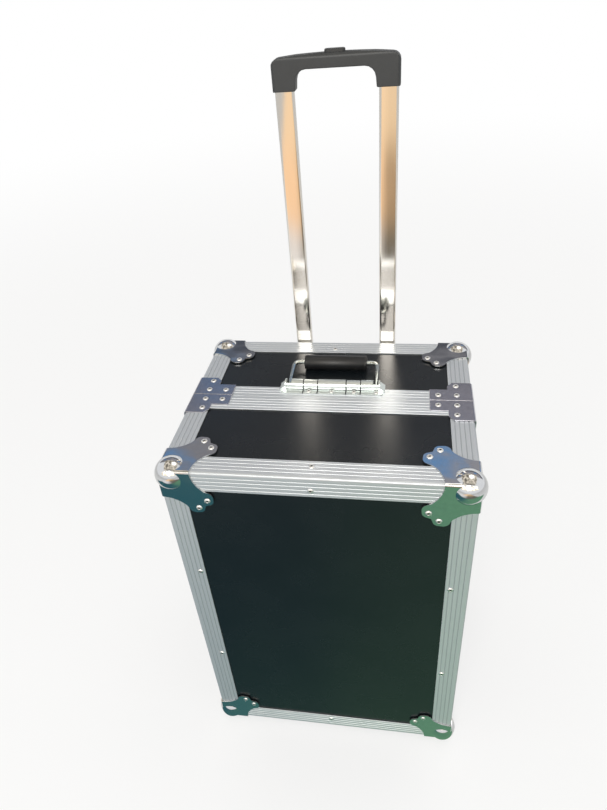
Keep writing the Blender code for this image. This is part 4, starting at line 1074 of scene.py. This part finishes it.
def rearColour(tree, look, spot, x, y, z):
    low = addNode(tree, "ShaderNodeMapRange", [z, *look["lowAt"]], interpolation_type="SMOOTHSTEP")
    colour = addNode(tree, "ShaderNodeMix", [low, look["colour"], look["low"]], data_type="RGBA")
    side = addNode(tree, "ShaderNodeMapRange", [x, *look["shadeAt"]], interpolation_type="SMOOTHSTEP")
    share = addNode(tree, "ShaderNodeMath", [side, look["shadeShare"]], operation="MULTIPLY")
    colour = addNode(tree, "ShaderNodeMix", [share, colour, look["shade"]], data_type="RGBA")
    wobble = addNode(tree, "ShaderNodeTexNoise", {"Vector": spot, "Scale": 1 / look["wobble"], "Detail": 3})
    shift = addNode(tree, "ShaderNodeMath", [wobble, 0.5], operation="SUBTRACT")
    for patchX, patchZ, radius in look["patches"]:
        middle = (patchX, look["y"], patchZ)
        distance = addNode(tree, "ShaderNodeVectorMath", [spot, middle], operation="DISTANCE")
        uneven = addNode(tree, "ShaderNodeMath", [shift, distance], operation="ADD")
        ends = [radius * share for share in look["edge"]]
        patch = addNode(tree, "ShaderNodeMapRange", [uneven, *ends], interpolation_type="SMOOTHSTEP")
        colour = addNode(tree, "ShaderNodeMix", [patch, colour, look["blue"]], data_type="RGBA")
    return colour


def paleColour(tree, look, spot, x, y, z):
    # soft clouds over a pale colour, which is duller toward the foot of an upright card
    colour = look["colour"]
    if "low" in look:
        low = addNode(tree, "ShaderNodeMapRange", [z, *look["lowAt"]], interpolation_type="SMOOTHSTEP")
        colour = addNode(tree, "ShaderNodeMix", [low, colour, look["low"]], data_type="RGBA")
    noise = addNode(tree, "ShaderNodeTexNoise", {"Vector": spot, "Scale": 1 / look["cloud"], "Detail": 3})
    cloud = addNode(tree, "ShaderNodeMapRange", [noise, *look["cloudEdge"]], interpolation_type="SMOOTHSTEP")
    return addNode(tree, "ShaderNodeMix", [cloud, colour, look["shade"]], data_type="RGBA")


def glossCard(name, paint):
    look = cards[name]
    material, tree, shader, spot = newMaterial(name + "_card")
    tree.nodes.remove(shader)
    colour = paint(tree, look, spot, *addNode(tree, "ShaderNodeSeparateXYZ", [spot]).outputs)
    glow = addNode(tree, "ShaderNodeEmission", {"Color": colour, "Strength": look["strength"]})
    feed(tree.nodes["Material Output"], {"Surface": glow})
    material.cycles.emission_sampling = "NONE"
    card = addObject(name + "_card", sheetMesh(name, look))
    card.data.materials.append(material)
    card.visible_camera = False
    card.visible_diffuse = False
    card.visible_shadow = False
    card.visible_transmission = False


studioFloor()
studioWorld()
softLamp("key")
softLamp("fill")
glossCard("ground", groundColour)
glossCard("rear", rearColour)
glossCard("front", paleColour)
glossCard("ceiling", paleColour)

camera = {
    "place": (0.10752, -0.70896, 1.11742),
    "right": (0.98650, 0.14658, -0.07295),
    "up": (-0.02836, 0.59177, 0.80561),
    "ahead": (-0.16126, 0.79266, -0.58794),
    "sensorHeight": 36,
    "lens": 27.488,
    "clipStart": 0.01,
}


def photographersCamera():
    eye = addObject("camera", bpy.data.cameras.new("camera"))
    turn = Matrix((camera["right"], camera["up"], -Vector(camera["ahead"]))).transposed()
    eye.matrix_world = Matrix.Translation(camera["place"]) @ turn.to_4x4()
    eye.data.sensor_fit = "VERTICAL"
    eye.data.sensor_height = camera["sensorHeight"]
    eye.data.lens = camera["lens"]
    eye.data.clip_start = camera["clipStart"]
    bpy.context.scene.camera = eye


photographersCamera()
bpy.context.scene.view_settings.view_transform = "Standard"
print("studio and camera ready")
